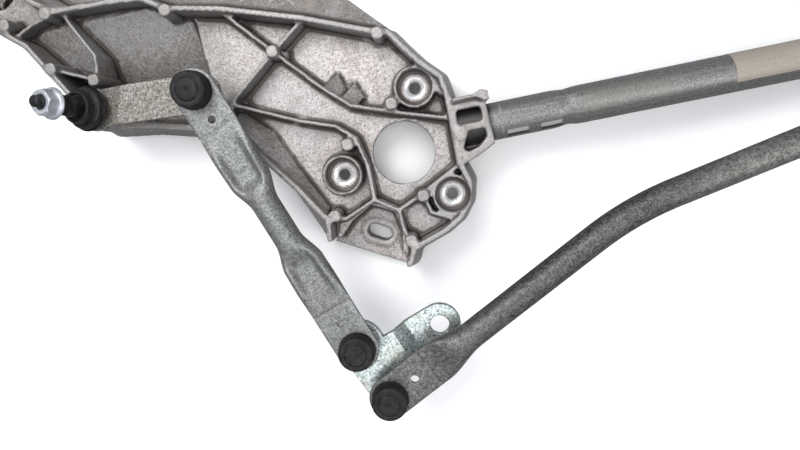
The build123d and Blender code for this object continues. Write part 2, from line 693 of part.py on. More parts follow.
def lever(hub, ball):
    """Pressed lever: a tilted hub plate that bends level towards the ball stud."""
    span = plan_distance(hub, ball)
    turn = heading(hub, ball)
    level_top = ball.Z - STUD_HEIGHT
    with BuildPart() as piece:
        with BuildSketch(spindle_plane(hub, -PLATE / 2)):
            Circle(span)
        extrude(amount=PLATE)
        with BuildSketch(flat_plane(Vector(hub.X, hub.Y, level_top - PLATE), turn)):
            Circle(span + LEVER_WIDTH)
        extrude(amount=PLATE)
        # Above either plate's top there is nothing, which leaves one bend between them.
        with BuildSketch(spindle_plane(hub, PLATE / 2)):
            Circle(2 * span)
        extrude(amount=span, mode=Mode.SUBTRACT)
        with BuildSketch(flat_plane(Vector(hub.X, hub.Y, level_top), turn)):
            Circle(2 * span)
        extrude(amount=span, mode=Mode.SUBTRACT)
        with BuildSketch(flat_plane(Vector(hub.X, hub.Y, 0), turn)):
            with Locations((span / 2, 0)):
                SlotCenterToCenter(span, LEVER_WIDTH)
        extrude(amount=FAR, mode=Mode.INTERSECT)
        with BuildSketch(spindle_plane(hub, -PLATE / 2)):
            Circle(LEVER_HUB_R)
        extrude(amount=PLATE)
        with BuildSketch(spindle_plane(hub, -PLATE)):
            Circle(SHAFT_R)
        extrude(amount=2 * PLATE, mode=Mode.SUBTRACT)
        with BuildSketch(flat_plane(ball, 0, -2 * STUD_HEIGHT)):
            Circle(STUD_TAIL_R)
        extrude(amount=2 * STUD_HEIGHT, mode=Mode.SUBTRACT)
    return piece.part


def ball_stud(ball, plate):
    """Ball, neck, flange and riveted tail, standing on a plate this thick."""
    top = -STUD_HEIGHT
    neck_r = STUD_TAIL_R
    meet = -math.sqrt(BALL_R ** 2 - neck_r ** 2)
    with BuildPart() as piece:
        with BuildSketch(side_plane(ball)):
            with BuildLine():
                ThreePointArc((neck_r, meet), (BALL_R, 0), (0, BALL_R))
                Polyline(
                    (0, BALL_R), (0, top - plate - 1.5), (5.5, top - plate - 1.5),
                    (6.2, top - plate), (neck_r, top - plate), (neck_r, top), (7.5, top),
                    (7.5, top + 1.4), (neck_r + 0.6, top + 1.8), (neck_r, top + 2.6),
                    (neck_r, meet),
                )
            make_face()
        revolve(axis=Axis(ball, (0, 0, 1)))
    return piece.part


for side, hub, ball in (("left", LEFT_HUB, BALL_A), ("right", RIGHT_HUB, BALL_D)):
    bush_low = BOSS_TOP - BOSS_LENGTH
    write(ring(hub, bush_low, BUSH_LENGTH, BUSH_R, SHAFT_R + RUN_CLEARANCE), f"{side}_bush_lower")
    write(
        ring(hub, BOSS_TOP - BUSH_LENGTH, BUSH_LENGTH, BUSH_R, SHAFT_R + RUN_CLEARANCE),
        f"{side}_bush_upper",
    )
    write(spindle(hub), f"{side}_spindle")
    write(flange_nut(hub), f"{side}_nut")
    write(sleeve(hub), f"{side}_sleeve")
    write(ring(hub, PLATE / 2, WASHER_THICK, CUP_WASHER_R, SHAFT_R), f"{side}_cup_washer")
    write(thrust_washers(hub), f"{side}_thrust_washers")
    write(seal_ring(hub), f"{side}_o_ring")
    write(retaining_ring(hub), f"{side}_retaining_ring")
    write(lever(hub, ball), f"{side}_lever")
    write(ball_stud(ball, PLATE), f"{side}_ball_stud")


# ---------------------------------------------------------------- crank
CRANK_DROP = 7.0             # the hub end is pressed down by this much
CRANK_HOLE_R = 5.75
CRANK_HUB_R = 12.8
CRANK_END_B_R = 14.0
CRANK_END_C_R = 12.5
CRANK_ARM_R = 13.0
JOGGLE_START = 25.0          # the joggle, measured back from the shaft hole
JOGGLE_END = 17.0

with BuildPart() as crank_plate:
    middle = (BALL_B + BALL_C) * 0.5
    crank_turn = heading(middle, CRANK_HUB)
    crank_span = plan_distance(middle, CRANK_HUB)
    crank_low = BALL_B.Z - STUD_HEIGHT - CRANK_PLATE
    crank_steps = [
        (-2 * CRANK_HUB_R, crank_low), (crank_span - JOGGLE_START, crank_low),
        (crank_span - JOGGLE_END, crank_low - CRANK_DROP),
        (crank_span + 2 * CRANK_HUB_R, crank_low - CRANK_DROP),
    ]
    raised_steps = [(s, z + CRANK_PLATE) for s, z in reversed(crank_steps)]
    side = flat_plane(Vector(middle.X, middle.Y, 0), crank_turn)
    with BuildSketch(Plane(origin=side.origin, x_dir=side.x_dir, z_dir=side.y_dir * -1)):
        with BuildLine():
            Polyline(*crank_steps, *raised_steps, close=True)
        make_face()
    extrude(amount=FAR, both=True)
    with BuildSketch() as crank_plan:
        with Locations((BALL_B.X, BALL_B.Y)):
            Circle(CRANK_END_B_R)
        with Locations((BALL_C.X, BALL_C.Y)):
            Circle(CRANK_END_C_R)
        make_hull()
        with BuildSketch(mode=Mode.PRIVATE) as crank_arm:
            with Locations((middle.X + 6, middle.Y + 3)):
                Circle(CRANK_ARM_R)
            with Locations((CRANK_HUB.X, CRANK_HUB.Y)):
                Circle(CRANK_HUB_R)
            make_hull()
        add(crank_arm.sketch)
    extrude(amount=FAR, mode=Mode.INTERSECT)
    with BuildSketch():
        with Locations((CRANK_HUB.X, CRANK_HUB.Y)):
            Circle(CRANK_HOLE_R)
        with Locations((BALL_B.X, BALL_B.Y), (BALL_C.X, BALL_C.Y)):
            Circle(STUD_TAIL_R)
    extrude(amount=FAR, mode=Mode.SUBTRACT)

write(crank_plate.part, "crank_plate")
write(ball_stud(BALL_B, CRANK_PLATE), "crank_stud_b")
write(ball_stud(BALL_C, CRANK_PLATE), "crank_stud_c")


# ---------------------------------------------------------------- ball sockets, caps, boots
SOCKET_R = 9.0
SOCKET_FLANGE_R = 10.6
SOCKET_MOUTH = -3.0
SOCKET_HIGH = 7.6
CAP_R = 10.8
CAP_TOP = 11.6
BOOT_LOW = -STUD_HEIGHT + 0.1
BOOT_HIGH = -5.4


def ball_socket(ball):
    """Moulded liner that grips the ball, held in the link's eye by its lower flange."""
    hold = BALL_R + BALL_CLEARANCE
    with BuildPart() as piece:
        with BuildSketch(flat_plane(ball, 0, SOCKET_MOUTH)):
            Circle(SOCKET_R)
        extrude(amount=SOCKET_HIGH - SOCKET_MOUTH)
        with BuildSketch(flat_plane(ball, 0, SOCKET_MOUTH)):
            Circle(SOCKET_FLANGE_R)
        extrude(amount=-LINK_FLAT_THICK / 2 - SOCKET_MOUTH)
        with Locations(ball):
            Sphere(hold, mode=Mode.SUBTRACT)
    return piece.part


def cap(ball):
    """Rubber cap over the socket, with a raised disc on its crown."""
    low = LINK_FLAT_THICK / 2
    outline = [
        (SOCKET_R, low), (CAP_R, low), (CAP_R, CAP_TOP - 2.6), (CAP_R - 0.8, CAP_TOP - 1.2),
        (CAP_R - 2.4, CAP_TOP - 0.6), (6.0, CAP_TOP - 0.5), (5.6, CAP_TOP), (0, CAP_TOP),
        (0, SOCKET_HIGH), (SOCKET_R, SOCKET_HIGH),
    ]
    with BuildPart() as piece:
        with BuildSketch(side_plane(ball)):
            with BuildLine():
                Polyline(*outline, close=True)
            make_face()
        revolve(axis=Axis(ball, (0, 0, 1)))
    return piece.part


def boot(ball):
    """Rubber boot round the stud's neck, seated on its flange."""
    outline = [
        (7.6, BOOT_LOW), (9.8, BOOT_LOW), (10.0, BOOT_LOW + 1.6), (9.0, BOOT_HIGH),
        (7.2, BOOT_HIGH), (7.6, BOOT_LOW + 1.6),
    ]
    with BuildPart() as piece:
        with BuildSketch(side_plane(ball)):
            with BuildLine():
                Polyline(*outline, close=True)
            make_face()
        revolve(axis=Axis(ball, (0, 0, 1)))
    return piece.part


for name, ball in (("a", BALL_A), ("b", BALL_B), ("c", BALL_C), ("d", BALL_D)):
    write(ball_socket(ball), f"ball_socket_{name}")
    write(cap(ball), f"rubber_cap_{name}")
    write(boot(ball), f"rubber_boot_{name}")


# ---------------------------------------------------------------- links
FLAT_END = 12.5              # radius of a link's flattened eye
LOCATING_SPOT = 18.5         # small hole beside each eye
LOCATING_R = 2.4
LEFT_FLAT = 28.0             # ball centre to the start of the pressed trough
LEFT_TROUGH = 42.0
RIGHT_FLAT = 27.0
RIGHT_TROUGH = 28.0
BEND_R = 170.0


def across_plane(start, end, distance):
    """Plane square to the line from start to end, this far along it, x level, y up."""
    along = (end - start).normalized()
    level = Vector(0, 0, 1).cross(along).normalized()
    return Plane(origin=start + along * distance, x_dir=level, z_dir=along)


def trough(ball, towards, flat, length):
    """Hollow stretch that changes from flat to round, going away from a ball."""
    with BuildPart() as piece:
        with BuildSketch(across_plane(ball, towards, flat)):
            RectangleRounded(LINK_FLAT_WIDTH, LINK_FLAT_THICK, LINK_FLAT_THICK / 2 - 0.01)
        with BuildSketch(across_plane(ball, towards, flat + length)):
            RectangleRounded(LINK_OD, LINK_OD, LINK_OD / 2 - 0.01)
        loft()
        inner = LINK_OD - 2 * LINK_WALL
        with BuildSketch(across_plane(ball, towards, flat + length / 3)):
            RectangleRounded(LINK_OD, 2.4, 1.1)
        with BuildSketch(across_plane(ball, towards, flat + length)):
            RectangleRounded(inner, inner, inner / 2 - 0.01)
        loft(mode=Mode.SUBTRACT)
    return piece.part


def eye(ball, towards, flat):
    """Flat end of a link with the hole for its socket and the small locating hole."""
    turn = heading(ball, towards)
    with BuildPart() as piece:
        with BuildSketch(flat_plane(ball, turn, -LINK_FLAT_THICK / 2)):
            Circle(FLAT_END)
            with Locations((flat / 2, 0)):
                Rectangle(flat, LINK_FLAT_WIDTH)
            Circle(SOCKET_R, mode=Mode.SUBTRACT)
            with Locations((LOCATING_SPOT, 0)):
                Circle(LOCATING_R, mode=Mode.SUBTRACT)
        extrude(amount=LINK_FLAT_THICK)
    return piece.part


with BuildPart() as left_link:
    add(eye(BALL_A, BALL_B, LEFT_FLAT))
    add(eye(BALL_B, BALL_A, LEFT_FLAT))
    add(trough(BALL_A, BALL_B, LEFT_FLAT, LEFT_TROUGH))
    add(trough(BALL_B, BALL_A, LEFT_FLAT, LEFT_TROUGH))
    left_ends = LEFT_FLAT + LEFT_TROUGH
    with BuildSketch(across_plane(BALL_A, BALL_B, left_ends)):
        Circle(LINK_OD / 2)
        Circle(LINK_OD / 2 - LINK_WALL, mode=Mode.SUBTRACT)
    extrude(amount=(BALL_B - BALL_A).length - 2 * left_ends)

write(left_link.part, "left_link")

with BuildPart() as right_link:
    add(eye(BALL_C, LINK_KINK, RIGHT_FLAT))
    add(eye(BALL_D, LINK_KINK, RIGHT_FLAT))
    add(trough(BALL_C, LINK_KINK, RIGHT_FLAT, RIGHT_TROUGH))
    add(trough(BALL_D, LINK_KINK, RIGHT_FLAT, RIGHT_TROUGH))
    right_ends = RIGHT_FLAT + RIGHT_TROUGH
    tube_from = across_plane(BALL_C, LINK_KINK, right_ends)
    tube_to = across_plane(BALL_D, LINK_KINK, right_ends)
    with BuildLine():
        FilletPolyline(tube_from.origin, LINK_KINK, tube_to.origin, radius=BEND_R)
    with BuildSketch(tube_from):
        Circle(LINK_OD / 2)
        Circle(LINK_OD / 2 - LINK_WALL, mode=Mode.SUBTRACT)
    sweep()

write(right_link.part, "right_link")
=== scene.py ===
"""Looks of the wiper linkage: rounded castings, pressed links, turned parts, materials and light."""
import json
import math

import bmesh
import bpy
import numpy as np
from mathutils import Matrix, Vector
from mathutils.bvhtree import BVHTree


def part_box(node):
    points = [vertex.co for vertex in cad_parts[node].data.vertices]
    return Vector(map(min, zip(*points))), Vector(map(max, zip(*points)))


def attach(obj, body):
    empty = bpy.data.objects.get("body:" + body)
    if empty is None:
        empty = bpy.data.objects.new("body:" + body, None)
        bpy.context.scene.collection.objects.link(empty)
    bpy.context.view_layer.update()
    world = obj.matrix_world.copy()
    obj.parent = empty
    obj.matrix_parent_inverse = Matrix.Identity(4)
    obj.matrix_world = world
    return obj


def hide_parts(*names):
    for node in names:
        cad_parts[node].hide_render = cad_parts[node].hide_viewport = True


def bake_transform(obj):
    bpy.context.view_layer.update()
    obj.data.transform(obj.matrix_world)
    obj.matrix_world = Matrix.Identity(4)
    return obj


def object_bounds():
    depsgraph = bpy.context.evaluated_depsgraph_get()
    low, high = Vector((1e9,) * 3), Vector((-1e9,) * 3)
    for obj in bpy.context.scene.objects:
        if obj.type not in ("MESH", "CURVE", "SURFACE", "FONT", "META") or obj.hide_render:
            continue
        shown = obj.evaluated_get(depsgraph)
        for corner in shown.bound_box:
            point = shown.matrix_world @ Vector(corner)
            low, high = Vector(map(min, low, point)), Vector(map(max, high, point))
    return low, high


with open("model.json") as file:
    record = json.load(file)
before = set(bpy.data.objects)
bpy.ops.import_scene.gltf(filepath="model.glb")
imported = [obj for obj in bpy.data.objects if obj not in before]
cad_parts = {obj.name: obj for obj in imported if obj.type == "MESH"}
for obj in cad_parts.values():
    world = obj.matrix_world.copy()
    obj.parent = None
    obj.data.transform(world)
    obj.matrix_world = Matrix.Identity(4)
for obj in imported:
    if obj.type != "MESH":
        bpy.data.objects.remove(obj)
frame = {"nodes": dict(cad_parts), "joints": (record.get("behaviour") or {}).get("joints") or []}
cad_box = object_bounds()

MM = 0.001
NODES = frame["nodes"]
JOINTS = {j["name"]: j for j in frame["joints"]}
AXIS = Vector(JOINTS["left_pivot"]["axis"]).normalized()
LEFT_HUB = Vector(JOINTS["left_pivot"]["pos_m"]) / MM
RIGHT_HUB = Vector(JOINTS["right_pivot"]["pos_m"]) / MM
BALL_A = Vector(JOINTS["ball_a_swing"]["pos_m"]) / MM
BALL_B = Vector(JOINTS["ball_b_swing"]["pos_m"]) / MM
BALL_C = Vector(JOINTS["ball_c_swing"]["pos_m"]) / MM
BALL_D = Vector((531.0, 33.0, 38.0))         # no joint here: the closed loop is opened at this ball
LINK_KINK = Vector((118.0, -55.0, 38.0))     # corner of the long link's centre line
TUBE_Y = 7.5                                 # the frame tube's centre line runs along X
TUBE_Z = 8.0


# ---------------------------------------------------------------- node helpers
class Shader:
    """A node tree builder: every call adds one node and returns its output."""

    def __init__(self, name):
        self.material = bpy.data.materials.new(name)
        self.material.use_nodes = True
        self.tree = self.material.node_tree
        self.surface = self.tree.nodes["Principled BSDF"]
        self.coords = self.tree.nodes.new("ShaderNodeTexCoord").outputs["Object"]

    def put(self, socket, value):
        """Link an output to a socket, or set the socket's own value."""
        if isinstance(value, bpy.types.NodeSocket):
            self.tree.links.new(value, socket)
        elif hasattr(value, "__len__") and len(value) == 3 and socket.type == "RGBA":
            socket.default_value = (*value, 1.0)
        else:
            socket.default_value = value

    def math(self, operation, a, b):
        node = self.tree.nodes.new("ShaderNodeMath")
        node.operation = operation
        self.put(node.inputs[0], a)
        self.put(node.inputs[1], b)
        return node.outputs[0]

    def vector(self, operation, a, b):
        node = self.tree.nodes.new("ShaderNodeVectorMath")
        node.operation = operation
        self.put(node.inputs[0], a)
        self.put(node.inputs[1], b)
        return node.outputs["Value" if operation in ("DISTANCE", "DOT_PRODUCT") else "Vector"]

    def xyz(self):
        """The three object coordinates, in metres."""
        node = self.tree.nodes.new("ShaderNodeSeparateXYZ")
        self.put(node.inputs[0], self.coords)
        return node.outputs

    def stretch(self, scale):
        """Object coordinates with another scale along each axis."""
        node = self.tree.nodes.new("ShaderNodeMapping")
        self.put(node.inputs["Vector"], self.coords)
        node.inputs["Scale"].default_value = scale
        return node.outputs[0]

    def noise(self, scale, detail=3.0, rough=0.55, vector=None, warp=0.0):
        node = self.tree.nodes.new("ShaderNodeTexNoise")
        self.put(node.inputs["Vector"], self.coords if vector is None else vector)
        node.inputs["Scale"].default_value = scale
        node.inputs["Detail"].default_value = detail
        node.inputs["Roughness"].default_value = rough
        node.inputs["Distortion"].default_value = warp
        return node.outputs["Fac"]

    def cells(self, scale):
        node = self.tree.nodes.new("ShaderNodeTexVoronoi")
        self.put(node.inputs["Vector"], self.coords)
        node.inputs["Scale"].default_value = scale
        return node.outputs["Color"]

    def attribute(self, name):
        """A mark stored on the mesh; 0 where the mesh has none."""
        node = self.tree.nodes.new("ShaderNodeAttribute")
        node.attribute_name = name
        return node.outputs["Fac"]

    def band(self, value, low, high):
        """0 below low, 1 above high, smooth between; low may be above high."""
        node = self.tree.nodes.new("ShaderNodeMapRange")
        node.interpolation_type = "SMOOTHSTEP"
        self.put(node.inputs["Value"], value)
        flip = low > high
        node.inputs["From Min"].default_value = high if flip else low
        node.inputs["From Max"].default_value = low if flip else high
        node.inputs["To Min"].default_value = 1.0 if flip else 0.0
        node.inputs["To Max"].default_value = 0.0 if flip else 1.0
        return node.outputs["Result"]

    def mix(self, factor, a, b, blend="MIX"):
        node = self.tree.nodes.new("ShaderNodeMix")
        node.data_type = "RGBA"
        node.blend_type = blend
        self.put(node.inputs["Factor"], factor)
        self.put(node.inputs[6], a)
        self.put(node.inputs[7], b)
        return node.outputs[2]

    def veil(self, base, mask, share, colour, blend="MIX"):
        """Lay this share of a colour over the base where the mask is 1."""
        return self.mix(self.math("MULTIPLY", mask, share), base, colour, blend)

    def ramp(self, value, places, colours):
        """Colour by value: each colour at its place from 0 to 1."""
        node = self.tree.nodes.new("ShaderNodeValToRGB")
        ramp = node.color_ramp
        while len(ramp.elements) < len(places):
            ramp.elements.new(0.5)
        for element, place, colour in zip(ramp.elements, places, colours):
            element.position = place
            element.color = (*colour, 1.0)
        self.put(node.inputs["Fac"], value)
        return node.outputs["Color"]

    def bump(self, height, distance, strength=1.0):
        node = self.tree.nodes.new("ShaderNodeBump")
        node.inputs["Strength"].default_value = strength
        node.inputs["Distance"].default_value = distance
        self.put(node.inputs["Height"], height)
        return node.outputs["Normal"]

    def finish(self, **sockets):
        """Set the surface's sockets by name and return the material."""
        for name, value in sockets.items():
            self.put(self.surface.inputs[name.replace("_", " ")], value)
        return self.material


# ---------------------------------------------------------------- materials
SCREW_CIRCLE_R = 38.5
FIRST_SCREW = 69                       # degrees from X; the motor bore's axis is at the origin
SCREW_TURNS = [math.radians(FIRST_SCREW + 120 * i) for i in range(3)]
SCREW_SPOTS = [
    Vector((math.cos(turn), math.sin(turn), 0)) * SCREW_CIRCLE_R * MM for turn in SCREW_TURNS
]
SEAT_R = (6.4 * MM, 6.0 * MM)          # outer edge of the machined seat round a screw hole
DARK_RING_IN = (8.9 * MM, 9.3 * MM)    # inner and outer edge of the dark ring at the counterbore's wall
DARK_RING_OUT = (10.2 * MM, 9.9 * MM)
DEEP_END = (-0.125, -0.060)            # the casting turns from dull to pale between these X
TOP_SHADE_FROM = (8 * MM, 18 * MM)          # rib tops are painted darker than the web from this Z up, as painted shade
CAST_STOPS = (0.32, 0.48, 0.70)
DULL_CAST = ((0.130, 0.121, 0.112), (0.250, 0.236, 0.221), (0.38, 0.365, 0.35))
PALE_CAST = ((0.20, 0.184, 0.175), (0.42, 0.390, 0.378), (0.62, 0.590, 0.578))
SHELF_SHADE_CAST = ((0.060, 0.056, 0.051), (0.108, 0.102, 0.094), (0.18, 0.172, 0.163))


def cast_metal(name, machined):
    """As-cast aluminium: grain, blotches, corner oil, machined seats; painted shade and highlight."""
    s = Shader(name)
    grain = s.noise(1300, 2.0, 0.75)
    speck = s.noise(520, 3.0, 0.75)
    mottle = s.noise(170, 4.0, 0.7, warp=0.5)
    blotch = s.noise(42, 5.0, 0.65, warp=0.8)
    patch = s.noise(16, 3.0, 0.55)
    x, _, z = s.xyz()
    base = s.ramp(speck, CAST_STOPS, DULL_CAST)
    if machined:
        base = s.mix(s.band(x, *DEEP_END), base, s.ramp(speck, CAST_STOPS, PALE_CAST))
    # The shelf beyond the far rim gets darker tones, as painted shade.
    base = s.mix(s.attribute("shelf"), base, s.ramp(speck, CAST_STOPS, SHELF_SHADE_CAST))
    base = s.veil(base, s.band(mottle, 0.54, 0.68), 0.50, (0.185, 0.165, 0.150))
    base = s.veil(base, s.band(mottle, 0.44, 0.32), 0.35, (0.52, 0.51, 0.505))
    base = s.veil(base, s.band(blotch, 0.50, 0.64), 0.45, (0.19, 0.165, 0.148))
    base = s.veil(base, s.band(patch, 0.50, 0.62), 0.35, (0.36, 0.365, 0.375))
    base = s.veil(base, s.band(grain, 0.47, 0.34), 0.85, (0.085, 0.072, 0.062))
    base = s.veil(base, s.band(grain, 0.58, 0.72), 0.35, (0.60, 0.585, 0.57))
    # Corners are darker: oil stains in part, painted shade in part.
    corner_oil_and_shade = s.math("MULTIPLY", s.band(s.attribute("cavity"), 0.12, 0.50), s.band(blotch, 0.16, 0.50))
    base = s.veil(base, corner_oil_and_shade, 0.92, (0.045, 0.036, 0.030))
    # Walls are painted dark, as painted shade, most where they face -Y.
    wall_shade = s.attribute("wall_shade")
    base = s.veil(base, s.band(wall_shade, 0.30, 0.80), 0.55, (0.055, 0.058, 0.070))
    # Outer edges away from the walls are painted lighter, as painted highlight.
    edge = s.math("MULTIPLY", s.band(s.attribute("edge"), 0.25, 0.70), s.band(wall_shade, 0.30, 0.06))
    base = s.veil(base, edge, 0.30, (0.36, 0.355, 0.35))
    # Tall parts are painted darker, as painted shade.
    base = s.veil(base, s.band(z, *TOP_SHADE_FROM), 0.45, (0.20, 0.192, 0.187))
    rough = s.math("ADD", s.math("MULTIPLY", speck, 0.34), 0.34)
    if machined:
        flat = s.vector("MULTIPLY", s.coords, (1.0, 1.0, 0.0))
        bright = 0.0
        for spot in SCREW_SPOTS:
            reach = s.vector("DISTANCE", flat, tuple(spot))
            bright = s.math("MAXIMUM", bright, s.band(reach, *SEAT_R))
            ring = s.math("MULTIPLY", s.band(reach, *DARK_RING_IN), s.band(reach, *DARK_RING_OUT))
            base = s.veil(base, ring, 0.5, (0.12, 0.11, 0.10))
        base = s.mix(bright, base, (0.62, 0.62, 0.62))
        rough = s.math("SUBTRACT", rough, s.math("MULTIPLY", bright, 0.28))
    height = s.math("ADD", s.math("MULTIPLY", speck, 0.6), s.math("MULTIPLY", grain, 0.4))
    return s.finish(
        Base_Color=base, Metallic=0.55, Roughness=rough, Normal=s.bump(height, 0.35 * MM, 0.55)
    )


ZINC_STOPS = (0.38, 0.50, 0.62)
EYE_PALE = (70 * MM, 0.0)              # the long link is paler towards its eye, between these X
FAR_PALE = (120 * MM, 180 * MM)        # and again beyond its kink


def zinc_sheet(name, tones, spangle, metallic, rough, stain, far_tones=None):
    """Zinc-coated steel: soft crystal cells, fine grain, freckles and dull stains."""
    s = Shader(name)
    cell = s.cells(spangle)
    grain = s.noise(850, 2.0, 0.75)
    cloud = s.noise(45, 3.0, 0.6, warp=0.5)
    freckle = s.noise(900, 4.0, 0.8)
    crystal = s.math("MULTIPLY", s.vector("DOT_PRODUCT", cell, (0.33, 0.33, 0.33)), 0.22)
    shade = s.math("ADD", crystal, s.math("MULTIPLY", grain, 0.78))
    base = s.ramp(shade, ZINC_STOPS, tones)
    if far_tones is not None:
        x = s.xyz()[0]
        near = s.math("MULTIPLY", s.band(x, *EYE_PALE), 0.55)
        paler = s.math("MAXIMUM", near, s.band(x, *FAR_PALE))
        base = s.mix(paler, base, s.ramp(shade, ZINC_STOPS, far_tones))
    base = s.veil(base, s.band(cloud, 0.45, 0.68), 0.55, stain)
    base = s.veil(base, s.band(freckle, 0.52, 0.62), 0.50, stain, "MULTIPLY")
    glint = [min(1.5 * level, 0.85) for level in tones[2]]
    base = s.veil(base, s.band(freckle, 0.48, 0.38), 0.60, glint)
    # Edges are painted lighter and hollows darker: painted highlight and painted shade.
    base = s.veil(base, s.band(s.attribute("edge"), 0.2, 0.7), 0.4, (0.50, 0.50, 0.48))
    base = s.veil(base, s.band(s.attribute("cavity"), 0.15, 0.8), 0.6, (0.12, 0.11, 0.10))
    dull = s.math("ADD", s.math("MULTIPLY", grain, 0.25), rough - 0.12)
    return s.finish(
        Base_Color=base, Metallic=metallic, Roughness=dull, Normal=s.bump(grain, 0.12 * MM, 0.5)
    )


TUBE_TONES = ((0.085, 0.088, 0.087), (0.175, 0.178, 0.174), (0.30, 0.30, 0.285))


def tube_steel():
    """Drawn, galvanised tube with lengthwise scratches and handling marks."""
    s = Shader("tube_galvanised")
    grain = s.noise(1100, 3.0, 0.7)
    drawn = s.noise(60, 4.0, 0.7, vector=s.stretch((0.06, 9.0, 9.0)))
    cloud = s.noise(30, 3.0, 0.6, vector=s.stretch((0.5, 1.5, 1.5)), warp=0.4)
    base = s.ramp(grain, (0.32, 0.5, 0.72), TUBE_TONES)
    base = s.veil(base, s.band(drawn, 0.52, 0.64), 0.40, (0.31, 0.305, 0.285))
    base = s.veil(base, s.band(drawn, 0.42, 0.33), 0.45, (0.085, 0.085, 0.08))
    base = s.veil(base, s.band(cloud, 0.52, 0.66), 0.35, (0.22, 0.21, 0.18))
    # Painted highlight on the tabs' lips; oil at the casting joint and painted shade under the lips.
    base = s.mix(s.band(s.attribute("edge"), 0.3, 0.7), base, (0.62, 0.63, 0.63))
    base = s.veil(base, s.attribute("cavity"), 0.85, (0.030, 0.028, 0.026))
    rough = s.math("ADD", s.math("MULTIPLY", drawn, 0.25), 0.30)
    height = s.math("ADD", s.math("MULTIPLY", drawn, 0.7), s.math("MULTIPLY", grain, 0.3))
    return s.finish(
        Base_Color=base, Metallic=0.7, Roughness=rough, Normal=s.bump(height, 0.12 * MM, 0.6)
    )


def black_part(name, low, high, rough, metallic=0.0):
    """Black rubber, moulding or phosphate: dusty highlights, worn rims and a fine grain."""
    s = Shader(name)
    grain = s.noise(900, 3.0, 0.65)
    dust = s.noise(160, 4.0, 0.7, warp=0.8)
    base = s.ramp(dust, (0.40, 0.74), (low, high))
    base = s.veil(base, s.band(grain, 0.62, 0.76), 0.35, high)
    base = s.veil(base, s.band(s.attribute("edge"), 0.2, 0.7), 0.5, high)
    dull = s.math("ADD", s.math("MULTIPLY", dust, 0.25), rough - 0.12)
    return s.finish(
        Base_Color=base, Metallic=metallic, Roughness=dull, Specular_IOR_Level=0.28,
        Normal=s.bump(grain, 0.15 * MM, 0.5),
    )


def plain_metal(name, dark, light, rough, metallic):
    """Small bright or bronze parts, with turning marks and a little tarnish."""
    s = Shader(name)
    grain = s.noise(700, 3.0, 0.65)
    cloud = s.noise(210, 3.0, 0.6, warp=0.6)
    base = s.ramp(cloud, (0.35, 0.65), (dark, light))
    dull = s.math("ADD", s.math("MULTIPLY", grain, 0.20), rough - 0.10)
    return s.finish(
        Base_Color=base, Metallic=metallic, Roughness=dull, Normal=s.bump(grain, 0.05 * MM, 0.4)
    )


def label_stock():
    """Blank beige label: paper fibre and faint scuffs along the tube."""
    s = Shader("label_stock")
    fibre = s.noise(1800, 2.0, 0.6)
    scuff = s.noise(80, 4.0, 0.7, vector=s.stretch((0.25, 3.0, 3.0)))
    base = s.ramp(fibre, (0.3, 0.7), ((0.22, 0.194, 0.160), (0.32, 0.285, 0.24)))
    base = s.veil(base, s.band(scuff, 0.55, 0.70), 0.55, (0.19, 0.17, 0.145))
    return s.finish(
        Base_Color=base, Roughness=0.5, Coat_Weight=0.15, Normal=s.bump(fibre, 0.04 * MM, 0.5)
    )


GALV_TONES = ((0.125, 0.128, 0.127), (0.19, 0.195, 0.194), (0.26, 0.264, 0.262))
DARK_TONES = ((0.032, 0.033, 0.032), (0.066, 0.068, 0.066), (0.125, 0.127, 0.124))
LEVER_TONES = ((0.075, 0.070, 0.064), (0.175, 0.168, 0.155), (0.32, 0.305, 0.285))
FAR_TONES = ((0.080, 0.080, 0.074), (0.150, 0.150, 0.140), (0.260, 0.258, 0.242))
BLUE_TONES = ((0.17, 0.20, 0.20), (0.44, 0.51, 0.51), (0.74, 0.83, 0.83))
MATERIALS = {
    "cast_aluminium": cast_metal("cast_aluminium_main", True),
    "cast_plain": cast_metal("cast_aluminium_right", False),
    "galvanised_steel": zinc_sheet("galvanised_link", GALV_TONES, 420, 0.6, 0.50, (0.15, 0.148, 0.14)),
    "galvanised_dark": zinc_sheet(
        "galvanised_long_link", DARK_TONES, 420, 0.6, 0.50, (0.10, 0.098, 0.09), FAR_TONES
    ),
    "lever_steel": zinc_sheet("galvanised_lever", LEVER_TONES, 700, 0.5, 0.50, (0.15, 0.13, 0.105)),
    "blue_zinc": zinc_sheet("blue_zinc_crank", BLUE_TONES, 380, 0.75, 0.34, (0.27, 0.26, 0.20)),
    "tube_steel": tube_steel(),
    "black_rubber": black_part("rubber_cap_black", (0.005, 0.005, 0.005), (0.029, 0.027, 0.026), 0.66),
    "black_plastic": black_part("sleeve_black", (0.006, 0.006, 0.007), (0.028, 0.029, 0.031), 0.46),
    "black_steel": black_part("phosphate_black", (0.010, 0.010, 0.011), (0.050, 0.051, 0.054), 0.46, 0.4),
    "bright_zinc": plain_metal("nut_bright_zinc", (0.34, 0.36, 0.40), (0.56, 0.58, 0.62), 0.40, 0.55),
    "ball_steel": plain_metal("ball_polished", (0.50, 0.50, 0.50), (0.72, 0.72, 0.72), 0.18, 1.0),
    "sintered_bronze": plain_metal("bush_bronze", (0.33, 0.21, 0.10), (0.56, 0.38, 0.20), 0.48, 0.8),
    "liner_plastic": plain_metal("liner_natural", (0.66, 0.63, 0.56), (0.80, 0.78, 0.72), 0.45, 0.0),
    "label_paper": label_stock(),
}


def paint(obj, key):
    """Give an object one of the materials and no other."""
    obj.data.materials.clear()
    obj.data.materials.append(MATERIALS[key])


# ---------------------------------------------------------------- mesh helpers
def new_object(name, mesh, key):
    """Smooth-shaded object with one of the materials."""
    obj = bpy.data.objects.new(name, mesh)
    bpy.context.scene.collection.objects.link(obj)
    mesh.shade_smooth()
    paint(obj, key)
    return obj


